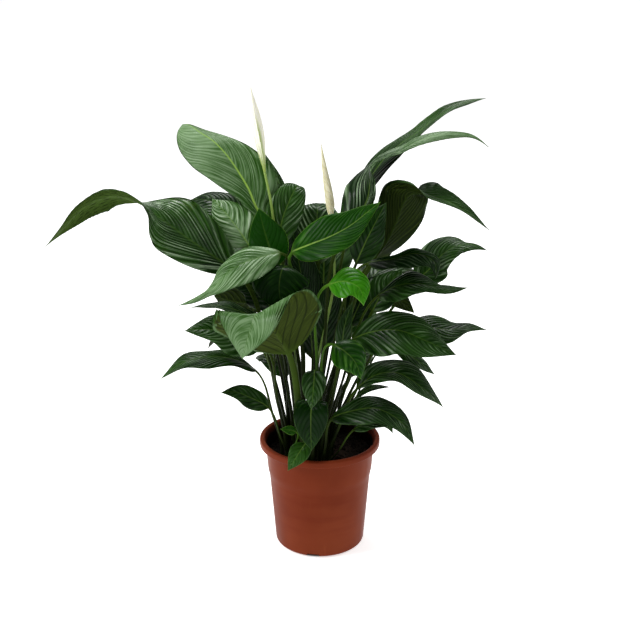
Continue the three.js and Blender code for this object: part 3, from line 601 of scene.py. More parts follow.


# Each leaf grows from root, where its stem leaves the soil, to the first point of rib, where the blade
# starts. rib runs on along the midrib to the tip, and faces gives the way the upper side looks, from base to
# tip. width is the greatest width, stem the stem's radius in the soil, fold lifts the halves into a V, arch
# bends each half down, and wave is the height of the margin's ripples. uneven makes one half wider than the
# other, at the base and at the tip. A stem that leans clear of another has a via.
# tone runs from dark to light green, and above 0.6 it also paints a grey-green sheen; tipTone is how much it
# rises towards the tip, partly as painted sheen, and under is the tone of the underside, low for painted
# shade.
# pale is how much painted grey-green sheen the ribs carry, relief their height in mm, ribTone how light the
# midrib is and gloss how shiny the upper side is. A row gives what isn't as in plainLeaf.
plainLeaf = dict(
    stem=2.8, fold=0.2, arch=0.3, wave=2, uneven=[0, 0], via=None, slot="leaf",
    skin="leafSkin", tone=0.25, tipTone=0, under=0.2, pale=0.45, relief=0.9, ribTone=0.25, gloss=1,
)
leaves = dict(
    left_1=dict(root=[-44, -8], width=84, stem=3.8, fold=0.15, arch=0.25, wave=3, uneven=[0.15, 0.15],
        rib=[[-110, -18, 410], [-138, -24, 433], [-171, -31, 460], [-206, -38, 490], [-233, -43, 513],
            [-267, -50, 524], [-301, -58, 513], [-330, -64, 486], [-354, -68, 461]],
        faces=[[-0.2, -0.75, 0.6], [-0.2, -0.8, 0.55], [-0.2, -0.7, 0.65], [-0.15, 0.1, 0.98],
            [-0.1, 0.6, 0.75], [-0.2, 0.55, 0.8], [-0.4, 0.4, 0.8]],
        skin="shinyLeafSkin", tone=0.3, under=0.85, pale=0.6, relief=1.5, ribTone=0.1, gloss=1.5),
    left_2=dict(root=[-44, 28], width=72, fold=0.3, wave=3, uneven=[0.1, -0.15],
        rib=[[-95, 55, 436], [-122, 70, 462], [-149, 85, 480], [-182, 105, 478]],
        faces=[[0.1, -0.6, 0.8], [0, -0.6, 0.8]],
        tone=0.15, pale=0.3),
    left_3=dict(root=[-36, 6], width=60, fold=0.3,
        rib=[[-94, 0, 441], [-107, 8, 459], [-126, 20, 481], [-146, 38, 497]],
        faces=[[0.2, -0.85, 0.5], [0.1, -0.8, 0.5]],
        skin="shinyLeafSkin", tone=0.75, pale=1.2, relief=1.1, ribTone=0.5, gloss=2),
    left_4=dict(root=[-46, -24], width=64, fold=0.3,
        rib=[[-78, -45, 317], [-106, -56, 331], [-142, -70, 348], [-177, -82, 351]],
        faces=[[0, -0.55, 0.8], [-0.1, -0.5, 0.8]],
        tone=0.35, pale=0.4),
    left_5=dict(root=[-50, 6], width=34, stem=2.2, fold=0.3,
        rib=[[-79, -5, 335], [-111, -10, 353], [-146, -14, 363], [-175, -18, 360]],
        faces=[[0, -0.4, 0.9], [0, 0.1, 1]]),
    left_6=dict(root=[-46, 16], width=60, arch=0.2, via=[-70, 20, 336],
        rib=[[-80, 22, 352], [-111, 26, 353], [-147, 30, 361]],
        faces=[[0, 0.95, 0.2], [0, 0.95, 0.2]],
        tone=0.1, pale=0.15, gloss=0.6),
    left_7=dict(root=[-53, -14], width=54, fold=0.3, arch=0.35, wave=3,
        rib=[[-87, -35, 275], [-108, -44, 293], [-147, -58, 305], [-179, -68, 302], [-212, -78, 281]],
        faces=[[0, -0.1, 1], [0, -0.15, 1]],
        tone=0.3, pale=0.25),
    left_8=dict(root=[-44, -40], width=32, stem=2, arch=0.2, wave=1,
        rib=[[-70, -44, 224], [-95, -54, 244], [-113, -62, 255], [-133, -68, 257]],
        faces=[[0, -0.7, 0.7], [0, -0.7, 0.7]],
        pale=0.15),
    left_9=dict(root=[-39, 37], width=52, stem=2.6,
        rib=[[-62, 14, 346], [-78, 12, 370], [-98, 10, 384], [-122, 8, 382]],
        faces=[[0.1, -0.95, 0.3], [0, -0.95, 0.3], [0, -0.85, 0.5]],
        tone=0, pale=0.05),
    top_1=dict(root=[-32, 24], width=73, stem=4, fold=0.25, arch=0.35, wave=4, uneven=[0.5, -0.95],
        rib=[[-71, 35, 464], [-85, 38, 483], [-97, 42, 511], [-111, 47, 534], [-126, 54, 554],
            [-143, 66, 569], [-164, 86, 578], [-182, 112, 583], [-193, 136, 579]],
        faces=[[-0.1, -0.9, 0.4], [-0.2, -0.85, 0.5], [-0.2, -0.7, 0.7], [-0.3, -0.2, 0.9]],
        tone=0.8, tipTone=0.25, pale=0.5, relief=0.6, ribTone=1.2, gloss=0.8),
    top_2=dict(root=[-23, 38], width=54, fold=0.3, wave=3,
        rib=[[-54, 60, 432], [-66, 72, 479], [-74, 82, 520], [-80, 95, 553]],
        faces=[[0.2, -0.9, 0.4], [0.1, -0.9, 0.5]],
        tone=0.7, pale=0.8),
    top_3=dict(root=[-19, 18], width=50, fold=0.35,
        rib=[[-55, 12, 438], [-52, 18, 468], [-43, 26, 493], [-31, 44, 512], [-24, 68, 504]],
        faces=[[0.1, -0.9, 0.4], [0.2, -0.8, 0.6], [0.2, 0, 1]],
        tone=0.45, pale=0.9),
    top_4=dict(root=[-9, 32], width=70, fold=0.1, arch=0.25,
        rib=[[-2, 50, 400], [-4, 60, 443], [-3, 76, 473], [0, 100, 474], [3, 128, 460]],
        faces=[[0, -0.9, 0.4], [0, -0.8, 0.6], [0, 0.3, 1]],
        tone=0.35, pale=1.2),
    top_5=dict(root=[-23, -10], width=56, stem=4.5, arch=0.2,
        rib=[[-61, -24, 419], [-66, -20, 443], [-74, -12, 469], [-81, -4, 496]],
        faces=[[-0.2, -0.9, 0.2], [-0.3, -0.8, 0.3]],
        skin="freshLeafSkin", tone=-0.15, pale=0, relief=0.4, ribTone=0.1, gloss=0.2),
    right_1=dict(root=[-4, 20], width=72, stem=3.4, arch=0.1, uneven=[0.2, 0.2],
        rib=[[49, 42, 483], [59, 45, 508], [71, 48, 528], [90, 52, 552], [112, 56, 571], [130, 58, 583],
            [150, 62, 598], [175, 65, 616], [199, 67, 624], [223, 70, 628]],
        faces=[[-0.5, -0.2, 0.8], [-0.5, -0.2, 0.8], [-0.5, -0.1, 0.8], [-0.35, 0, 0.9], [-0.3, -0.05, 0.9],
            [-0.2, -0.3, 0.9]],
        tone=0.1, tipTone=0.35, pale=0.2),
    right_2=dict(root=[-10, 0], width=64, stem=3.4, uneven=[-0.7, -0.15],
        rib=[[32, -8, 460], [52, -8, 487], [63, -9, 510], [66, -11, 533], [68, -13, 556], [85, -17, 569],
            [105, -21, 577], [122, -24, 588], [148, -28, 598], [172, -31, 601], [194, -33, 599],
            [216, -36, 585]],
        faces=[[-0.45, -0.85, 0.2], [-0.55, -0.72, 0.35], [-0.75, 0.15, 0.62], [-0.2, 0, 1], [0, -0.1, 1],
            [0.2, -0.2, 1]],
        tone=0, tipTone=0.9, pale=1.2),
    right_3=dict(root=[0, -4], width=76, stem=3.8, fold=0.35, arch=0, wave=3, uneven=[-0.4, 0.3],
        rib=[[71, 4, 418], [91, 6, 449], [103, 6, 477], [111, 5, 500], [119, 0, 513], [133, -4, 516],
            [152, -10, 512], [172, -14, 506], [191, -17, 495], [208, -19, 482], [224, -20, 470]],
        faces=[[-0.4, 0.8, 0.4], [-0.35, 0.85, 0.35], [-0.3, 0.9, 0.3], [-0.2, 0.93, 0.3], [-0.1, 0.9, 0.4],
            [0, 0.4, 0.9], [0.1, -0.1, 1], [0.1, -0.2, 0.95], [0.1, -0.2, 0.95], [0.1, -0.2, 0.95],
            [0.1, -0.2, 0.95]],
        tone=0.1, tipTone=0.4, pale=0.5),
    right_4=dict(root=[-6, -20], width=50, fold=0.3, arch=0.2,
        rib=[[48, -40, 430], [60, -42, 460], [74, -43, 490], [86, -44, 514]],
        faces=[[-0.5, -0.8, 0.2], [-0.5, -0.8, 0.2]],
        tone=0, pale=0),
    right_5=dict(root=[10, 4], width=34, fold=0.3, arch=0.2,
        rib=[[65, 34, 401], [85, 42, 420], [107, 50, 434], [126, 54, 447]],
        faces=[[0, 0.8, 0.5], [0, 0.8, 0.5]],
        tone=0.3, pale=0.2, gloss=0.6),
    right_6=dict(root=[6, 30], width=66, arch=0.4, wave=3, uneven=[-0.25, 0],
        rib=[[133, 60, 370], [154, 54, 393], [170, 46, 416], [187, 38, 430], [208, 30, 434], [228, 22, 429]],
        faces=[[-0.4, -0.75, 0.55], [-0.4, -0.75, 0.55], [-0.2, -0.45, 0.85], [0.1, -0.1, 1],
            [0.2, -0.3, 0.9]],
        tone=0.35, pale=0.6, gloss=0.7),
    right_7=dict(root=[8, -14], width=56, arch=0.4, wave=3,
        rib=[[63, -20, 424], [96, -26, 432], [129, -36, 442], [150, -42, 433], [153, -46, 411]],
        faces=[[-0.1, -0.1, 1], [-0.1, -0.05, 1], [0.1, -0.3, 0.95], [0.5, -0.7, 0.5]],
        tone=0, pale=0.2, gloss=0.35),
    right_8=dict(root=[5, -28], width=66, fold=0.25, arch=0.35,
        rib=[[78, -32, 382], [103, -48, 402], [128, -64, 410], [152, -78, 409], [168, -86, 410],
            [190, -94, 415]],
        faces=[[0, -0.35, 0.93], [0, -0.4, 0.93], [0, 0.1, 0.95], [0, -0.2, 1]],
        tone=0.2, pale=0.35, gloss=0.6),
    right_9=dict(root=[15, 14], width=44, arch=0.2, wave=1,
        rib=[[73, 40, 369], [103, 36, 358], [132, 28, 336]],
        faces=[[0, 0.8, 0.5], [0.2, 0.8, 0.5]]),
    right_10=dict(root=[17, -4], width=46, fold=0.3, arch=0.2,
        rib=[[72, 6, 346], [88, 14, 375], [113, 20, 402]],
        faces=[[-0.15, -0.85, 0.45], [-0.1, -0.8, 0.55]]),
    right_11=dict(root=[14, -26], width=54, arch=0.35,
        rib=[[103, -24, 331], [142, -32, 338], [175, -40, 337], [201, -46, 343], [223, -52, 341]],
        faces=[[0, -0.4, 0.9], [0, -0.4, 0.9], [0, 0, 1]]),
    right_12=dict(root=[18, -12], width=28, stem=2, wave=1,
        rib=[[99, -20, 306], [128, -28, 291], [157, -36, 270]],
        faces=[[0, -0.3, 0.95], [0.2, -0.4, 0.9]]),
    right_13=dict(root=[11, -46], width=46, fold=0.25, arch=0.35, uneven=[-0.4, -0.2],
        rib=[[50, -62, 260], [73, -64, 280], [103, -76, 289], [134, -88, 274], [164, -96, 248]],
        faces=[[0, -0.4, 0.95], [0.2, -0.5, 0.9]]),
    right_14=dict(root=[8, -36], width=16, stem=1.6, arch=0.2, wave=0,
        rib=[[47, -42, 236], [66, -48, 254], [96, -56, 260]],
        faces=[[0, -0.3, 0.95], [0, -0.3, 0.95]]),
    right_15=dict(root=[4, 12], width=44, stem=2.6,
        rib=[[42, 24, 318], [55, 26, 350], [68, 29, 378], [82, 31, 392]],
        faces=[[-0.2, -0.9, 0.3], [-0.3, -0.8, 0.5], [-0.2, -0.4, 0.9]],
        tone=0, pale=0.05),
    front_1=dict(root=[-31, -34], width=58, arch=0.4, via=[-47, -48, 358],
        rib=[[-50, -62, 451], [-74, -74, 450], [-97, -84, 445], [-117, -94, 435], [-136, -102, 417],
            [-156, -110, 407], [-180, -116, 398]],
        faces=[[-0.1, -0.55, 0.85], [-0.2, -0.65, 0.7], [-0.4, -0.4, 0.75], [-0.5, 0, 0.8],
            [-0.5, -0.1, 0.8]],
        tone=0.85, pale=1.3, relief=0.8, ribTone=0.1),
    front_2=dict(root=[-20, -56], width=140, stem=5.5, fold=0.22, arch=0.1, uneven=[-0.1, 0.25],
        rib=[[-41, -80, 319], [-59, -96, 359], [-72, -128, 393], [-80, -150, 397], [-88, -160, 376],
            [-97, -163, 344]],
        faces=[[-0.1, 0.9, 0.2], [-0.15, 0.75, 0.6], [-0.42, 0, 0.91], [-0.4, -0.75, 0.5],
            [-0.3, -0.95, 0.1]],
        tone=0.9, under=0.8, pale=0.1, relief=0.25, ribTone=0.1, gloss=0.6),
    front_3=dict(root=[-15, -28], width=60, stem=3, fold=0.3, arch=0.2, via=[-12, -52, 372],
        rib=[[-36, -66, 453], [-13, -76, 467], [10, -82, 478], [38, -84, 494], [61, -82, 512],
            [77, -78, 524]],
        faces=[[-0.2, -0.75, 0.65], [-0.2, -0.65, 0.75]],
        slot="young_leaf", skin="freshLeafSkin", tone=0.05, pale=0.1, relief=0.8, ribTone=0.7, gloss=0.15),
    front_4=dict(root=[-13, -38], width=48, stem=3, wave=1,
        rib=[[12, -80, 414], [34, -94, 423], [50, -104, 418], [56, -110, 396]],
        faces=[[-0.1, -0.6, 0.8], [0.1, -0.7, 0.7], [0.5, -0.8, 0.3]],
        slot="young_leaf", skin="youngLeafSkin", tone=0.4, pale=0.2, relief=0.6, gloss=0.5),
    front_5=dict(root=[0, -50], width=78, arch=0.35,
        rib=[[43, -58, 329], [73, -70, 346], [105, -84, 352], [138, -98, 343], [177, -110, 328]],
        faces=[[0, -0.55, 0.85], [0.1, -0.55, 0.85]],
        tone=0.3, pale=0.4),
    front_6=dict(root=[-9, -50], width=46, stem=2.6, wave=1,
        rib=[[18, -104, 340], [33, -116, 335], [45, -123, 324], [53, -128, 302]],
        faces=[[-0.1, -0.6, 0.8], [0.3, -0.8, 0.5], [0.5, -0.85, 0.2]],
        skin="freshLeafSkin", tone=0.1, pale=0.35, relief=0.7),
    front_7=dict(root=[-24, -42], width=76, wave=1, via=[-32, -50, 388],
        rib=[[-42, -66, 434], [-48, -82, 436], [-52, -94, 418], [-47, -100, 384]],
        faces=[[0, -0.2, 1], [0, -0.8, 0.5], [0, -0.95, 0.3]],
        tone=0, pale=0, relief=0.4, ribTone=0.1, gloss=0.2),
    front_8=dict(root=[3, -62], width=48, fold=0.25, arch=0.35,
        rib=[[15, -76, 221], [43, -90, 240], [77, -106, 250], [105, -118, 238], [125, -124, 205]],
        faces=[[0, -0.45, 0.9], [0.1, -0.5, 0.8], [0.5, -0.6, 0.6]],
        tone=0.2, pale=0.2),
    front_9=dict(root=[13, -56], width=28, stem=2, wave=1,
        rib=[[46, -68, 202], [69, -76, 218], [90, -84, 220], [98, -88, 206]],
        faces=[[0, -0.3, 0.95], [0, -0.5, 0.8]]),
    front_10=dict(root=[-2, -38], width=24, stem=2.2, fold=0.6, arch=0.1, wave=0,
        rib=[[30, -44, 306], [32, -45, 338], [44, -43, 378]],
        faces=[[0, -0.9, 0.3], [0, -0.9, 0.3]],
        tone=0.15, pale=0.1),
    front_11=dict(root=[-10, -68], width=48, stem=2.6, fold=0.35, arch=0.2, wave=1,
        rib=[[-9, -78, 236], [-9, -84, 250], [-11, -93, 246], [-12, -99, 222], [-11, -99, 186]],
        faces=[[0, 0.5, 0.9], [0, -0.3, 1], [0, -0.8, 0.6], [0, -0.95, 0.2], [0, -0.95, 0.1]],
        tone=0, pale=0, relief=0.3, ribTone=0.3, gloss=0.3),
    front_12=dict(root=[-17, -48], width=32, stem=2, arch=0.2, wave=0,
        rib=[[-7, -86, 297], [-7, -94, 298], [-8, -104, 284], [-11, -112, 252]],
        faces=[[0, 0.1, 1], [0, -0.6, 0.8], [0, -0.95, 0.2]],
        tone=0.3, pale=0.3, relief=0.6),
    front_13=dict(root=[-30, -62], width=28, stem=2, arch=0.2, wave=0,
        rib=[[-19, -72, 184], [-27, -90, 180], [-43, -99, 156]],
        faces=[[0, -0.6, 0.8], [0, -0.9, 0.3]],
        tone=0.5, pale=0, relief=0.4),
    front_14=dict(root=[-41, -48], width=13, stem=1.4, fold=0.1, arch=0.1, wave=0,
        rib=[[-32, -62, 196], [-42, -66, 201], [-53, -70, 204]],
        faces=[[0, -0.8, 0.6], [0, -0.8, 0.6]],
        slot="young_leaf", skin="freshLeafSkin", tone=0.35, pale=0.05, relief=0.3),
    back_1=dict(root=[-32, 44], width=84, fold=0.25, arch=0.35, wave=3,
        rib=[[-45, 85, 330], [-85, 125, 385], [-122, 160, 392], [-160, 190, 350]],
        faces=[[-0.2, -0.1, 1], [-0.2, 0.2, 1], [-0.4, 0.5, 0.7]]),
    back_2=dict(root=[-14, 50], width=90, fold=0.25, arch=0.35, wave=3,
        rib=[[5, 90, 350], [5, 135, 400], [0, 180, 405], [-5, 225, 360]],
        faces=[[0, -0.1, 1], [0, 0.2, 1], [0, 0.6, 0.7]]),
    back_3=dict(root=[1, 40], width=76, fold=0.25, arch=0.35, wave=3,
        rib=[[50, 80, 330], [85, 115, 370], [115, 150, 370], [140, 180, 330]],
        faces=[[0.2, -0.1, 1], [0.2, 0.3, 1], [0.4, 0.5, 0.7]]),
    back_4=dict(root=[-50, 24], width=66, fold=0.25, arch=0.35, wave=3,
        rib=[[-80, 60, 265], [-112, 80, 290], [-140, 98, 282], [-165, 112, 250]],
        faces=[[-0.2, 0, 1], [-0.3, 0.2, 1], [-0.5, 0.3, 0.7]]),
    back_5=dict(root=[-23, 58], width=72, fold=0.25, arch=0.35, wave=3,
        rib=[[-25, 100, 265], [-40, 140, 300], [-52, 180, 300], [-60, 215, 265]],
        faces=[[0, 0, 1], [0, 0.3, 1], [0, 0.6, 0.7]]),
    back_6=dict(root=[-4, 56], width=66, fold=0.25, arch=0.35, wave=3,
        rib=[[35, 98, 270], [50, 135, 300], [60, 170, 300], [70, 205, 265]],
        faces=[[0, 0, 1], [0.1, 0.3, 1], [0.2, 0.6, 0.7]]),
    back_7=dict(root=[15, 26], width=66, fold=0.25, arch=0.35, wave=3,
        rib=[[80, 55, 270], [115, 75, 300], [148, 92, 292], [175, 105, 255]],
        faces=[[0.2, 0, 1], [0.3, 0.2, 1], [0.5, 0.3, 0.7]]),
    back_8=dict(root=[-40, 54], width=46, fold=0.25, arch=0.35,
        rib=[[-50, 85, 215], [-68, 112, 236], [-82, 136, 232], [-92, 158, 210]],
        faces=[[-0.1, 0, 1], [-0.2, 0.3, 1], [-0.3, 0.5, 0.7]]),
    back_9=dict(root=[8, 50], width=44, fold=0.25, arch=0.35,
        rib=[[45, 88, 215], [56, 116, 238], [64, 142, 234], [70, 165, 212]],
        faces=[[0.1, 0, 1], [0.2, 0.3, 1], [0.3, 0.5, 0.7]]),
    back_10=dict(root=[-16, 27], width=60, stem=2.6,
        rib=[[-10, 28, 268], [-16, 28, 334], [-28, 30, 406], [-40, 36, 470]],
        faces=[[-0.1, -0.95, 0.2], [-0.2, -0.9, 0.3], [-0.2, -0.8, 0.5]],
        tone=0, pale=0.05),
    back_11=dict(root=[-8, 10], width=44, stem=2.6,
        rib=[[8, 20, 285], [11, 20, 330], [15, 21, 370], [20, 24, 402]],
        faces=[[0.2, -0.95, 0.2], [0.2, -0.9, 0.3], [0.3, -0.8, 0.5]],
        tone=0.1, pale=0.05),
)

# What all leaves share: lengths in mm, and shares of the length, the half width or the stem's radius
leafShape = dict(
    foot=126, straightTo=146, shortStem=60, bow=(0.36, 0.36, 0.52),
    stemTop=0.62, stemWidth=1.2, stemDepth=0.85, stemRows=32,
    channel=0.4, channelWidth=0.35,
    halfColumns=14, columnSpread=1.25, baseRows=12, rowsPerRib=6,
    fullness=0.7, taper=1.1, leastHalf=0.3, neck=0.08,
    thickness=0.85, marginThickness=0.3,
    midribTip=0.4, keel=1, keelWidth=1.15, groove=0.35,
    fewestRibs=6, ribSpacing=10.5, ribShape=0.8, veinBend=1.7, veinCurve=1.25,
    ribsFullAt=6, ribsLeftAtMargin=0.65, ribsFullWidth=60, marginFrill=0.4,
    foldRound=0.004, foldSunk=0.063,
)


def leafPath(leaf):
    # The stem leaves the soil upright, bows outwards a little and runs on into the midrib
    root = leaf["root"]
    rib = np.array(leaf["rib"], float)
    foot = np.array([*root, leafShape["foot"]], float)
    path = [foot, [*root, leafShape["straightTo"]]]
    if leaf["via"]:
        path.append(leaf["via"])
    elif rib[0][2] - foot[2] > leafShape["shortStem"]:
        path.append(foot + (rib[0] - foot) * leafShape["bow"])
    at, knots = curveThrough([*path, *rib])
    return at, knots[len(path)], knots[-1]


def leafOutline(t):
    # Half the width over the greatest half width: t^p (1 - t)^q
    p, q = leafShape["fullness"], leafShape["taper"]
    peak = p / (p + q)
    return t**p * (1 - t) ** q / (peak**p * (1 - peak) ** q)


def leafAxes(leaf, at, bladeAt, end, distance):
    # At each distance along the path: the point, the way across the leaf and the way up from its upper side
    point, tangent = at(distance)
    t = np.clip((distance - bladeAt) / (end - bladeAt), 0, 1)
    faces = unit(np.array(leaf["faces"], float))
    place = t * (len(faces) - 1)
    i = np.minimum(place.astype(int), len(faces) - 2)
    up = between(faces[i], faces[i + 1], (place - i)[..., None])
    inward = np.array([*leaf["root"], 0]) - [*leaf["rib"][-1][:2], 0]
    share = np.clip(distance / bladeAt, 0, 1)[..., None] ** 2
    up = np.where(share < 1, between(unit(inward), faces[0], share), up)
    across = unit(np.cross(tangent, up))
    return point, across, np.cross(across, tangent)


def leafGrid(length):
    # The grid's rows, as share of the stem's length and then v of the blade's, closer together at the blade's
    # base, and its columns u from margin to margin
    shape = leafShape
    ribs = max(shape["fewestRibs"], round(length / shape["ribSpacing"]))
    u = np.linspace(-1, 1, 2 * shape["halfColumns"] + 1)[None, :]
    first = (np.arange(shape["baseRows"]) / shape["baseRows"]) ** 2 / ribs
    rest = np.arange(shape["rowsPerRib"], shape["rowsPerRib"] * ribs + 1) / (shape["rowsPerRib"] * ribs)
    stemShare = np.linspace(0, 1, shape["stemRows"], endpoint=False)[:, None]
    v = np.concatenate([np.zeros(shape["stemRows"]), first, rest])[:, None]
    share = np.concatenate([stemShare, np.ones((len(v) - shape["stemRows"], 1))])
    return ribs, share, v, u


def ribRelief(leaf, seed, phase, t, s, x, grown):
    # The ribs between side veins: |sin| of the vein count, strongest half way out, and a frill at the margin
    shape = leafShape
    swell = np.abs(np.sin(np.pi * phase)) ** shape["ribShape"]
    margin = smooth((np.abs(s) - 0.8) / 0.2)
    held = smooth(np.abs(x) / shape["ribsFullAt"]) * (1 - shape["ribsLeftAtMargin"] * margin)
    held = held * smooth(t / 0.12) * smooth((1 - t) / 0.25)
    relief = leaf["relief"] * min(1, leaf["width"] / shape["ribsFullWidth"])
    frill = np.sin(np.pi * phase * 0.5 + seed) * np.abs(s) ** 5
    return relief * (swell - 0.5) * held, shape["marginFrill"] * relief * frill * grown * (1 - t)


def skinFaces(rows, ring):
    # Quads along a skin of rings, and strips between the upper and lower sides that fill its two ends
    k = np.arange(1, ring // 2 - 1)
    strip = np.stack([k, k + 1, ring - k - 1, ring - k], axis=-1)
    ends = np.array([[0, 1, ring - 1], [ring // 2 - 1, ring // 2, ring // 2 + 1]])
    last = (rows - 1) * ring
    quads = np.concatenate([tubeFaces(rows, ring), strip[:, ::-1], strip + last])
    triangles = np.concatenate([ends[:, ::-1], ends + last])
    return [quads, triangles]


def leafSurface(leaf, seed):
    # A closed skin of rings: each ring runs across the upper side and back along the lower one. On the blade
    # a ring follows a side vein, which leaves the midrib at v of the length and bends on towards the tip:
    # t = v + bend |s|^curve (sqrt(v) - v) at s across. Returns the points, the faces and the marks that the
    # materials read.
    shape = leafShape
    at, bladeAt, end = leafPath(leaf)
    length = end - bladeAt
    ribs, share, v, u = leafGrid(length)
    wide = np.sign(u) * np.abs(u) ** shape["columnSpread"]
    t = v + shape["veinBend"] * np.abs(wide) ** shape["veinCurve"] * (np.sqrt(v) - v)
    point, across, upright = leafAxes(leaf, at, bladeAt, end, share * bladeAt + t * length)

    # the stem's oval and, on the blade, the midrib that it runs on into
    radius = between(leaf["stem"], shape["stemTop"] * leaf["stem"], share)
    ribHalf = shape["stemWidth"] * radius * (1 - t) ** 0.8 + shape["midribTip"] * smooth(t * 12)
    ribDepth = shape["stemDepth"] * radius * (1 - t) ** 0.9
    grown = smooth(t / shape["neck"])
    uneven = between(*leaf["uneven"], smooth(t))
    blade = leaf["width"] / 2 * leafOutline(t) * (1 + uneven * np.sign(u))
    # half is the wider of the blade and the midrib, with a soft change from one to the other
    half = (np.maximum(blade, shape["leastHalf"]) ** 4 * (t > 0) + ribHalf**4) ** 0.25
    s = between(np.sin(np.pi / 2 * u), wide, grown)
    x = half * s

    # the blade's sweep: its fold, rounded at the midrib, its arch and the ripples of its margin, which the
    # two halves have at different places
    bend = leaf["fold"] * (np.sqrt(s * s + shape["foldRound"]) - shape["foldSunk"]) - leaf["arch"] * s * s
    ripple = np.sin(4 * np.pi * t + 1.7 * seed + np.where(u > 0, 1.1, 0))
    lift = half * bend * grown + leaf["wave"] * np.sin(np.pi * t) * s * s * ripple
    phase = v * ribs + np.where(u > 0, 0.5, 0)
    relief, frill = ribRelief(leaf, seed, phase, t, s, x, grown)
    lift = lift + relief + frill

    # the two skins, apart by the blade's thickness and by the stem's or midrib's depth
    oval = np.cos(np.pi / 2 * u)
    channel = shape["channel"] * np.exp(-((u / shape["channelWidth"]) ** 2)) * smooth((1 - share) * 6)
    keel = np.clip(1 - (x / (shape["keelWidth"] * ribHalf)) ** 2, 0, 1) ** 2
    thickness = between(shape["thickness"], shape["marginThickness"], np.abs(s)) / 2
    thickness = thickness * np.sqrt(1 - s**10) * grown
    upper = lift + thickness + ribDepth * oval * (1 - channel) * (1 - grown)
    upper = upper - shape["groove"] * np.exp(-((x / ribHalf) ** 2)) * grown * (1 - t)
    lower = lift - thickness - ribDepth * between(oval, shape["keel"] * keel, grown)
    # a folded or arched half reaches less far out
    x = x * between(1, 1 / math.sqrt(1 + (leaf["fold"] - leaf["arch"] / 2) ** 2), grown)

    back = slice(-2, 0, -1)
    above = point + across * x[..., None] + upright * upper[..., None]
    below = point + across * x[..., None] + upright * lower[..., None]
    points = np.concatenate([above, below[:, back]], axis=1)

    def bothSides(values, under=None):
        values = np.broadcast_to(values, t.shape)
        under = values if under is None else np.broadcast_to(under, t.shape)
        return np.concatenate([values, under[:, back]], axis=1)

    marks = {
        "veinPhase": bothSides(phase),
        "across": bothSides(s),
        "edgeDistance": bothSides(half * (1 - np.abs(s))),
        "upperSide": bothSides(np.where(np.abs(u) == 1, 0.5, 1), 0),
        "midrib": bothSides(np.exp(-((x / (0.75 * ribHalf)) ** 2)), keel),
        "blade": bothSides(grown),
        "stemHeight": bothSides(share),
        "tone": bothSides(leaf["tone"] + leaf["tipTone"] * smooth((t - 0.3) / 0.4), leaf["under"]),
        "pale": bothSides(leaf["pale"]),
        "ribTone": bothSides(leaf["ribTone"] * (1 - 0.7 * t)),
        "gloss": bothSides(leaf["gloss"]),
        "leafSeed": bothSides(seed * 3.7),
    }
    return points.reshape(-1, 3), skinFaces(*points.shape[:2]), marks


# The skins' colours, by the pattern's sockets. A skin has the leafSkin's where it gives none.
leafSkins = dict(
    leafSkin=dict(
        # Sheen is painted sheen: the grey-green highlight drawn along the rib crests
        Deep=(6, 30, 2), Light=(50, 94, 24), Sheen=(142, 168, 130), Midrib=(146, 184, 78),
        # Under is made dark as painted shade: the underside gets a darker green than its own
        Margin=(62, 96, 40), Under=(20, 30, 4), Under_Vein=(72, 88, 30), Stem=(52, 72, 18),
        Stem_Foot=(20, 28, 6),
    ),
    shinyLeafSkin=dict(Light=(62, 112, 32), Sheen=(184, 208, 172), Under_Vein=(86, 116, 46)),
    freshLeafSkin=dict(
        Deep=(14, 54, 2), Light=(58, 124, 14), Sheen=(112, 160, 66), Under=(60, 96, 16),
        Margin=(90, 134, 44), Stem=(72, 112, 30),
    ),
    youngLeafSkin=dict(
        Deep=(26, 84, 2), Light=(62, 140, 10), Sheen=(116, 176, 60), Under=(84, 140, 24),
        Margin=(120, 176, 60), Stem=(84, 130, 36),
    ),
)
leafFinish = dict(
    specular=0.04, coatRoughness=0.28, bump=(0.6, 0.0008),
    roughness=(0.26, 0.4), sheenRougher=0.1, underRougher=0.15, glossInValley=0.03, glossOnCrest=0.28,
)


def leafVeins(tree):
    # The patterns that follow the side veins: swell rises from a valley to a rib's crest, valley is the line
    # between two ribs, and fine and broad are noise drawn out along the ribs
    phase = mark(tree, "veinPhase")
    across = mark(tree, "across")
    seed = mark(tree, "leafSeed")
    swell = maths(tree, "ABSOLUTE", maths(tree, "SINE", times(tree, phase, math.pi)))
    # the valleys are wide on dark leaves and thin lines on pale ones
    valley = ramped(tree, swell, 0, ramped(tree, mark(tree, "tone"), 0.4, 0.9, 0.5, 0.2), 1, 0)
    drawnOut = vector(tree, times(tree, phase, 3.5), times(tree, across, 1.6), seed)
    fine = noise(tree, 1.3, 3, place=drawnOut)
    drawnOut = vector(tree, times(tree, phase, 0.8), times(tree, across, 0.9), seed)
    broad = noise(tree, 1, 2, place=drawnOut)
    return swell, valley, fine, broad


def ribSheen(tree, swell, fine, broad):
    # Painted sheen: a pale grey-green highlight lies along the crests of some ribs and not of others, and
    # fades in from the midrib
    bloom = times(tree, ramped(tree, swell, 0.6, 1), mark(tree, "pale"))
    bloom = times(tree, bloom, ramped(tree, broad, 0.38, 0.6, 0.1, 1))
    bloom = times(tree, bloom, ramped(tree, fine, 0.42, 0.6, 0, 1))
    outward = ramped(tree, maths(tree, "ABSOLUTE", mark(tree, "across")), 0.04, 0.3)
    return times(tree, bloom, outward, clamp=True)


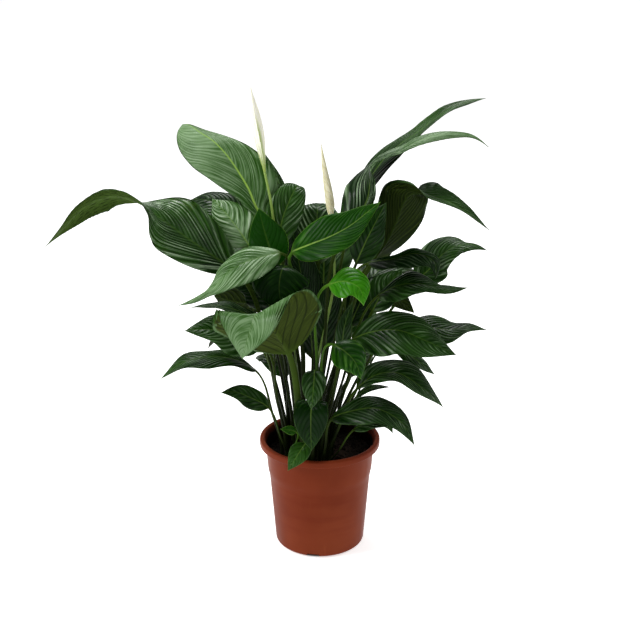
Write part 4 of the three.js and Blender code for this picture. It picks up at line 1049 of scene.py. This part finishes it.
def upperColour(tree, given, swell, valley, fine, bloom):
    # Deep to light green by the leaf's tone, with its painted sheen, its valleys in painted shade and its
    # midrib
    cloud = noise(tree, 22, 3)
    tone = plus(tree, mark(tree, "tone"), ramped(tree, cloud, 0.3, 0.7, -0.15, 0.15))
    tone = plus(tree, tone, ramped(tree, fine, 0.35, 0.65, -0.15, 0.15))
    green = mixed(tree, maths(tree, "MINIMUM", tone, 1, clamp=True), given["Deep"], given["Light"])
    # painted sheen: a tone above 0.6 turns greyer, as the grey-green sheen is painted over the whole leaf
    spread = times(tree, ramped(tree, tone, 0.6, 1.2, 0, 0.55), ramped(tree, swell, 0, 0.5, 0.8, 1))
    green = mixed(tree, spread, green, given["Sheen"])
    # painted sheen along the crests of the ribs
    green = mixed(tree, bloom, green, given["Sheen"])
    # painted shade: the valleys between the ribs are darkened towards the deep green, more on dark leaves
    shade = times(tree, valley, ramped(tree, mark(tree, "tone"), 0.2, 0.9, 0.6, 0.3))
    green = mixed(tree, shade, green, given["Deep"])
    pale = times(tree, ramped(tree, mark(tree, "midrib"), 0.45, 0.95), mark(tree, "ribTone"))
    return mixed(tree, pale, green, given["Midrib"])


def underColour(tree, given, valley, fine):
    # The underside: its veins stand out paler, and its tone takes it from the deep green of painted shade to
    # the vein's
    tone = mark(tree, "tone")
    green = mixed(tree, ramped(tree, fine, 0.3, 0.7, 0, 0.3), given["Under"], given["Under Vein"])
    green = mixed(tree, times(tree, valley, 0.6), green, given["Under Vein"])
    green = mixed(tree, ramped(tree, mark(tree, "midrib"), 0.2, 0.7, 0, 0.6), green, given["Stem"])
    # painted shade: a low under-tone darkens the underside towards the deep green
    green = mixed(tree, ramped(tree, tone, 0, 0.6, 0.5, 0), green, given["Deep"])
    green = mixed(tree, ramped(tree, tone, 0.6, 1.1, 0, 0.8), green, given["Under Vein"])
    # a pale underside shows dark streaks that sweep out from the midrib towards the tip
    sweep = times(tree, maths(tree, "ABSOLUTE", mark(tree, "across")), -8)
    sweep = plus(tree, times(tree, mark(tree, "veinPhase"), math.pi / 2), sweep)
    sweep = maths(tree, "ABSOLUTE", maths(tree, "SINE", sweep))
    streaks = times(tree, ramped(tree, sweep, 0, 0.5, 0.8, 0), ramped(tree, tone, 0.5, 0.8))
    return mixed(tree, streaks, green, given["Under"])


def stemColour(tree, given):
    # Darker towards the foot, in lengthwise streaks, and paler on pale leaves
    streak = noise(tree, 40, 3, stretch=(1, 1, 0.12))
    foot = ramped(tree, mark(tree, "stemHeight"), 0.2, 0.95, 1, 0)
    foot = plus(tree, foot, ramped(tree, streak, 0.3, 0.7, -0.3, 0.3))
    paler = maths(tree, "SUBTRACT", 0.4, times(tree, mark(tree, "tone"), 0.7))
    return mixed(tree, plus(tree, foot, paler, clamp=True), given["Stem"], given["Stem Foot"])


def leafPattern():
    # The leaf's skin from its marks: the upper side, the underside, the margin and the stem
    finish = leafFinish
    colours = {socket.replace("_", " "): rgb(*colour) for socket, colour in leafSkins["leafSkin"].items()}
    values = dict.fromkeys(("Roughness", "Height", "Gloss"), "NodeSocketFloat")
    tree, given, result = newGroup("leafPattern", colours, {"Color": "NodeSocketColor", **values})
    swell, valley, fine, broad = leafVeins(tree)
    # bloom here is the mask of the painted sheen on the rib crests
    bloom = ribSheen(tree, swell, fine, broad)
    upper = upperColour(tree, given, swell, valley, fine, bloom)
    side = ramped(tree, mark(tree, "upperSide"), 0.1, 0.4)
    blade = mixed(tree, side, underColour(tree, given, valley, fine), upper)
    edge = ramped(tree, mark(tree, "edgeDistance"), 0.3, 1.1, 0.6, 0)
    blade = mixed(tree, edge, blade, given["Margin"])
    feed(tree, result["Color"], mixed(tree, mark(tree, "blade"), stemColour(tree, given), blade))
    rough = ramped(tree, fine, 0.2, 0.8, *finish["roughness"])
    rough = plus(tree, rough, times(tree, bloom, finish["sheenRougher"]))
    feed(tree, result["Roughness"], plus(tree, rough, ramped(tree, side, 0, 1, finish["underRougher"], 0)))
    # only the blade's upper side is glossy, most on the crests
    gloss = ramped(tree, swell, 0.2, 1, finish["glossInValley"], finish["glossOnCrest"])
    gloss = times(tree, times(tree, side, gloss), mark(tree, "blade"))
    feed(tree, result["Gloss"], times(tree, gloss, mark(tree, "gloss")))
    feed(tree, result["Height"], plus(tree, times(tree, fine, 0.8), times(tree, valley, -0.5)))
    return tree


def leafMaterial(name, pattern, colours):
    finish = leafFinish
    material, tree, inputs = newMaterial(
        name, Specular_IOR_Level=finish["specular"], Coat_Roughness=finish["coatRoughness"],
    )
    skin = addNode(tree, "ShaderNodeGroup", node_tree=pattern)
    for socket, colour in colours.items():
        skin.inputs[socket.replace("_", " ")].default_value = rgb(*colour)
    feed(tree, inputs["Base Color"], skin.outputs["Color"])
    feed(tree, inputs["Roughness"], skin.outputs["Roughness"])
    feed(tree, inputs["Coat Weight"], skin.outputs["Gloss"])
    addBump(tree, inputs, skin.outputs["Height"], *finish["bump"])
    return material


def buildLeaves():
    pattern = leafPattern()
    skins = {name: leafMaterial(name, pattern, colours) for name, colours in leafSkins.items()}
    count = 0
    for seed, (name, row) in enumerate(leaves.items()):
        leaf = {**plainLeaf, **row}
        points, faces, marks = leafSurface(leaf, seed)
        piece = newPiece("blade_" + name, points, faces, skins[leaf["skin"]], marks)
        standFor(piece, "leaf_" + name)
        count += len(faces[0]) * 2 + len(faces[1])
    print("leaves made:", len(leaves), "with", count, "triangles")


buildLeaves()


# Each bloom is a leafless stalk and a furled sheath. radius is the sheath's greatest radius, at the share
# peak of its length; twist and lip turn the free edge round it, in turns. Green runs up the sheath to greenTo
# of its length, and creases is how deep the shadow colour lies in its creases.
blooms = dict(
    bloom_1=dict(
        root=[-24, 8], stem=2.4, radius=8, peak=0.5, twist=0.08, lip=0.7,
        scape=[[-59, 2, 453], [-66, 8, 506], [-73, 10.8, 541]],
        sheath=[[-73, 10.8, 541], [-78, 12.4, 575], [-84, 14.3, 613], [-90, 16, 653]],
        skin="whiteSpathe", white=(255, 254, 244), shadow=(250, 247, 222), green=(146, 170, 70),
        greenTo=0.42, creases=0.2,
    ),
    bloom_2=dict(
        root=[-15, 12], stem=2.2, radius=6.2, peak=0.26, twist=0.9, lip=0.3,
        scape=[[20, 15, 400], [16, 18, 470]],
        sheath=[[16, 18, 470], [13, 20, 500], [6, 24, 545], [2, 26, 575]],
        skin="creamSpathe", white=(252, 248, 226), shadow=(226, 218, 170), green=(206, 208, 140),
        greenTo=0.1, creases=0.8,
    ),
)
bloomShape = dict(
    scapeTaper=0.3, scapeRows=90, scapeSides=24, corner=0.02,
    sheathRows=110, sheathSides=96, lap=0.16, tip=0.45, edge=0.03, rolledEdge=0.03,
    pleats=11, pleat=0.012, finePleats=23, finePleat=0.008, pleatSlant=9,
    sheathRoughness=0.6, specular=0.35, sheathBump=(0.35, 0.0006),
    lightInside=0.15, lightReach=(0.004, 0.004, 0.002),  # light that goes a few mm through the sheath
    stalk=(108, 140, 46), stalkPaler=(132, 162, 68), stalkFoot=(52, 80, 24), stalkRoughness=0.45,
    stalkBump=(0.2, 0.0004),
)


def tubeSurface(at, end, rows, sides, radiusAt):
    # Rings round a path; radiusAt takes the share of the length and the turn round it, both as arrays
    share = np.linspace(0, 1, rows)[:, None]
    turn = np.linspace(0, 1, sides, endpoint=False)[None, :]
    point, tangent = at(share * end)
    across = unit(np.cross(tangent, [0, 1, 0]))
    upright = np.cross(across, tangent)
    radius = radiusAt(share, turn)[..., None]
    angle = -2 * np.pi * turn[..., None]
    rings = point + radius * (across * np.cos(angle) + upright * np.sin(angle))
    poles = [point[0, 0], point[-1, 0]]
    points = np.concatenate([rings.reshape(-1, 3), poles])
    first = np.arange(sides)
    last = first + (rows - 1) * sides
    faces = [tubeFaces(rows, sides), fan(first, rows * sides, -1), fan(last, rows * sides + 1, 1)]
    marks = {
        "lengthwise": np.concatenate([np.broadcast_to(share, radius.shape[:2]).ravel(), [0, 1]]),
        "round": np.concatenate([np.broadcast_to(turn, radius.shape[:2]).ravel(), [0, 0]]),
    }
    return points, faces, marks


def sheathRadius(bloom, share, turn):
    # A scroll: the radius shrinks once round and steps out again at the free edge, with low pleats round it.
    # Returns the radius and lap, the share of the way round from the free edge.
    shape = bloomShape
    peak = bloom["peak"]
    rise = np.sin(np.pi / 2 * np.minimum(1, share / peak))
    fall = np.cos(np.pi / 2 * np.clip((share - peak) / (1 - peak), 0, 1))
    foot = np.where(share < peak, bloom["stem"] * (1 - shape["scapeTaper"]), shape["tip"])
    body = foot + (bloom["radius"] - foot) * rise**1.3 * fall**1.2
    lap = (turn + bloom["twist"] * share + bloom["lip"]) % 1
    edge = shape["edge"]
    step = np.where(lap < 1 - edge, lap / (1 - edge), (1 - lap) / edge)
    pleats = shape["pleat"] * np.cos(2 * np.pi * shape["pleats"] * lap)
    slanted = np.cos(2 * np.pi * shape["finePleats"] * lap + shape["pleatSlant"] * share)
    pleats = pleats + shape["finePleat"] * slanted
    rolled = shape["rolledEdge"] * np.exp(-((lap / edge) ** 2))
    return body * (1 - shape["lap"] * step + pleats + rolled), lap


def spatheMaterial(bloom):
    # Cream sheath: fine lengthwise veins, green that runs up from the stalk and along the free edge
    shape = bloomShape
    material, tree, inputs = newMaterial(
        bloom["skin"], Roughness=shape["sheathRoughness"], Specular_IOR_Level=shape["specular"],
        Subsurface_Weight=shape["lightInside"], Subsurface_Radius=shape["lightReach"],
    )
    shadow = rgb(*bloom["shadow"])
    along = mark(tree, "lengthwise")
    lap = mark(tree, "lap")
    streak = noise(tree, 1, 3, place=vector(tree, times(tree, lap, 26), times(tree, along, 3)))
    colour = mixed(tree, ramped(tree, streak, 0.35, 0.7), shadow, rgb(*bloom["white"]))
    # fine slanting creases
    slant = plus(tree, times(tree, lap, 5), times(tree, along, 16))
    crease = noise(tree, 1.6, 2, place=vector(tree, slant, times(tree, along, 4)))
    colour = mixed(tree, ramped(tree, crease, 0.5, 0.62, 0, bloom["creases"]), colour, shadow)
    greenTo = bloom["greenTo"]
    alongEdge = ramped(tree, along, greenTo, greenTo + 0.35, 0.9, 0)
    edge = times(tree, ramped(tree, lap, 0, 0.14, 1, 0), alongEdge)
    reach = plus(tree, along, ramped(tree, streak, 0.3, 0.7, -0.12, 0.12))
    base = ramped(tree, reach, 0.02, greenTo, 1, 0)
    colour = mixed(tree, maths(tree, "MAXIMUM", base, edge), colour, rgb(*bloom["green"]))
    feed(tree, inputs["Base Color"], colour)
    addBump(tree, inputs, streak, *shape["sheathBump"])
    return material


def stalkMaterial():
    # Pale yellow-green, darker at its foot, with faint lengthwise streaks
    shape = bloomShape
    material, tree, inputs = newMaterial("stalkSkin", Roughness=shape["stalkRoughness"])
    streak = noise(tree, 60, 3, stretch=(1, 1, 0.08))
    colour = mixed(tree, ramped(tree, streak, 0.35, 0.7), rgb(*shape["stalk"]), rgb(*shape["stalkPaler"]))
    foot = ramped(tree, mark(tree, "lengthwise"), 0.1, 0.7, 1, 0)
    feed(tree, inputs["Base Color"], mixed(tree, foot, colour, rgb(*shape["stalkFoot"])))
    addBump(tree, inputs, streak, *shape["stalkBump"])
    return material


def buildBlooms():
    shape = bloomShape
    stalkSkin = stalkMaterial()
    for name, bloom in blooms.items():
        at, _, end = leafPath(dict(root=bloom["root"], rib=bloom["scape"], via=None))
        points, faces, marks = tubeSurface(
            at, end, shape["scapeRows"], shape["scapeSides"],
            lambda share, turn: bloom["stem"] * (1 - shape["scapeTaper"] * share)
            * (1 + shape["corner"] * np.cos(6 * np.pi * turn)),
        )
        standFor(newPiece(name + "Stalk", points, faces, stalkSkin, marks), name + "_stalk")
        at, knots = curveThrough(bloom["sheath"])
        points, faces, marks = tubeSurface(
            at, knots[-1], shape["sheathRows"], shape["sheathSides"],
            lambda share, turn: sheathRadius(bloom, share, turn)[0],
        )
        marks["lap"] = sheathRadius(bloom, marks["lengthwise"], marks["round"])[1]
        piece = newPiece(name + "Sheath", points, faces, spatheMaterial(bloom), marks)
        standFor(piece, name + "_sheath")


buildBlooms()
print("blooms made")
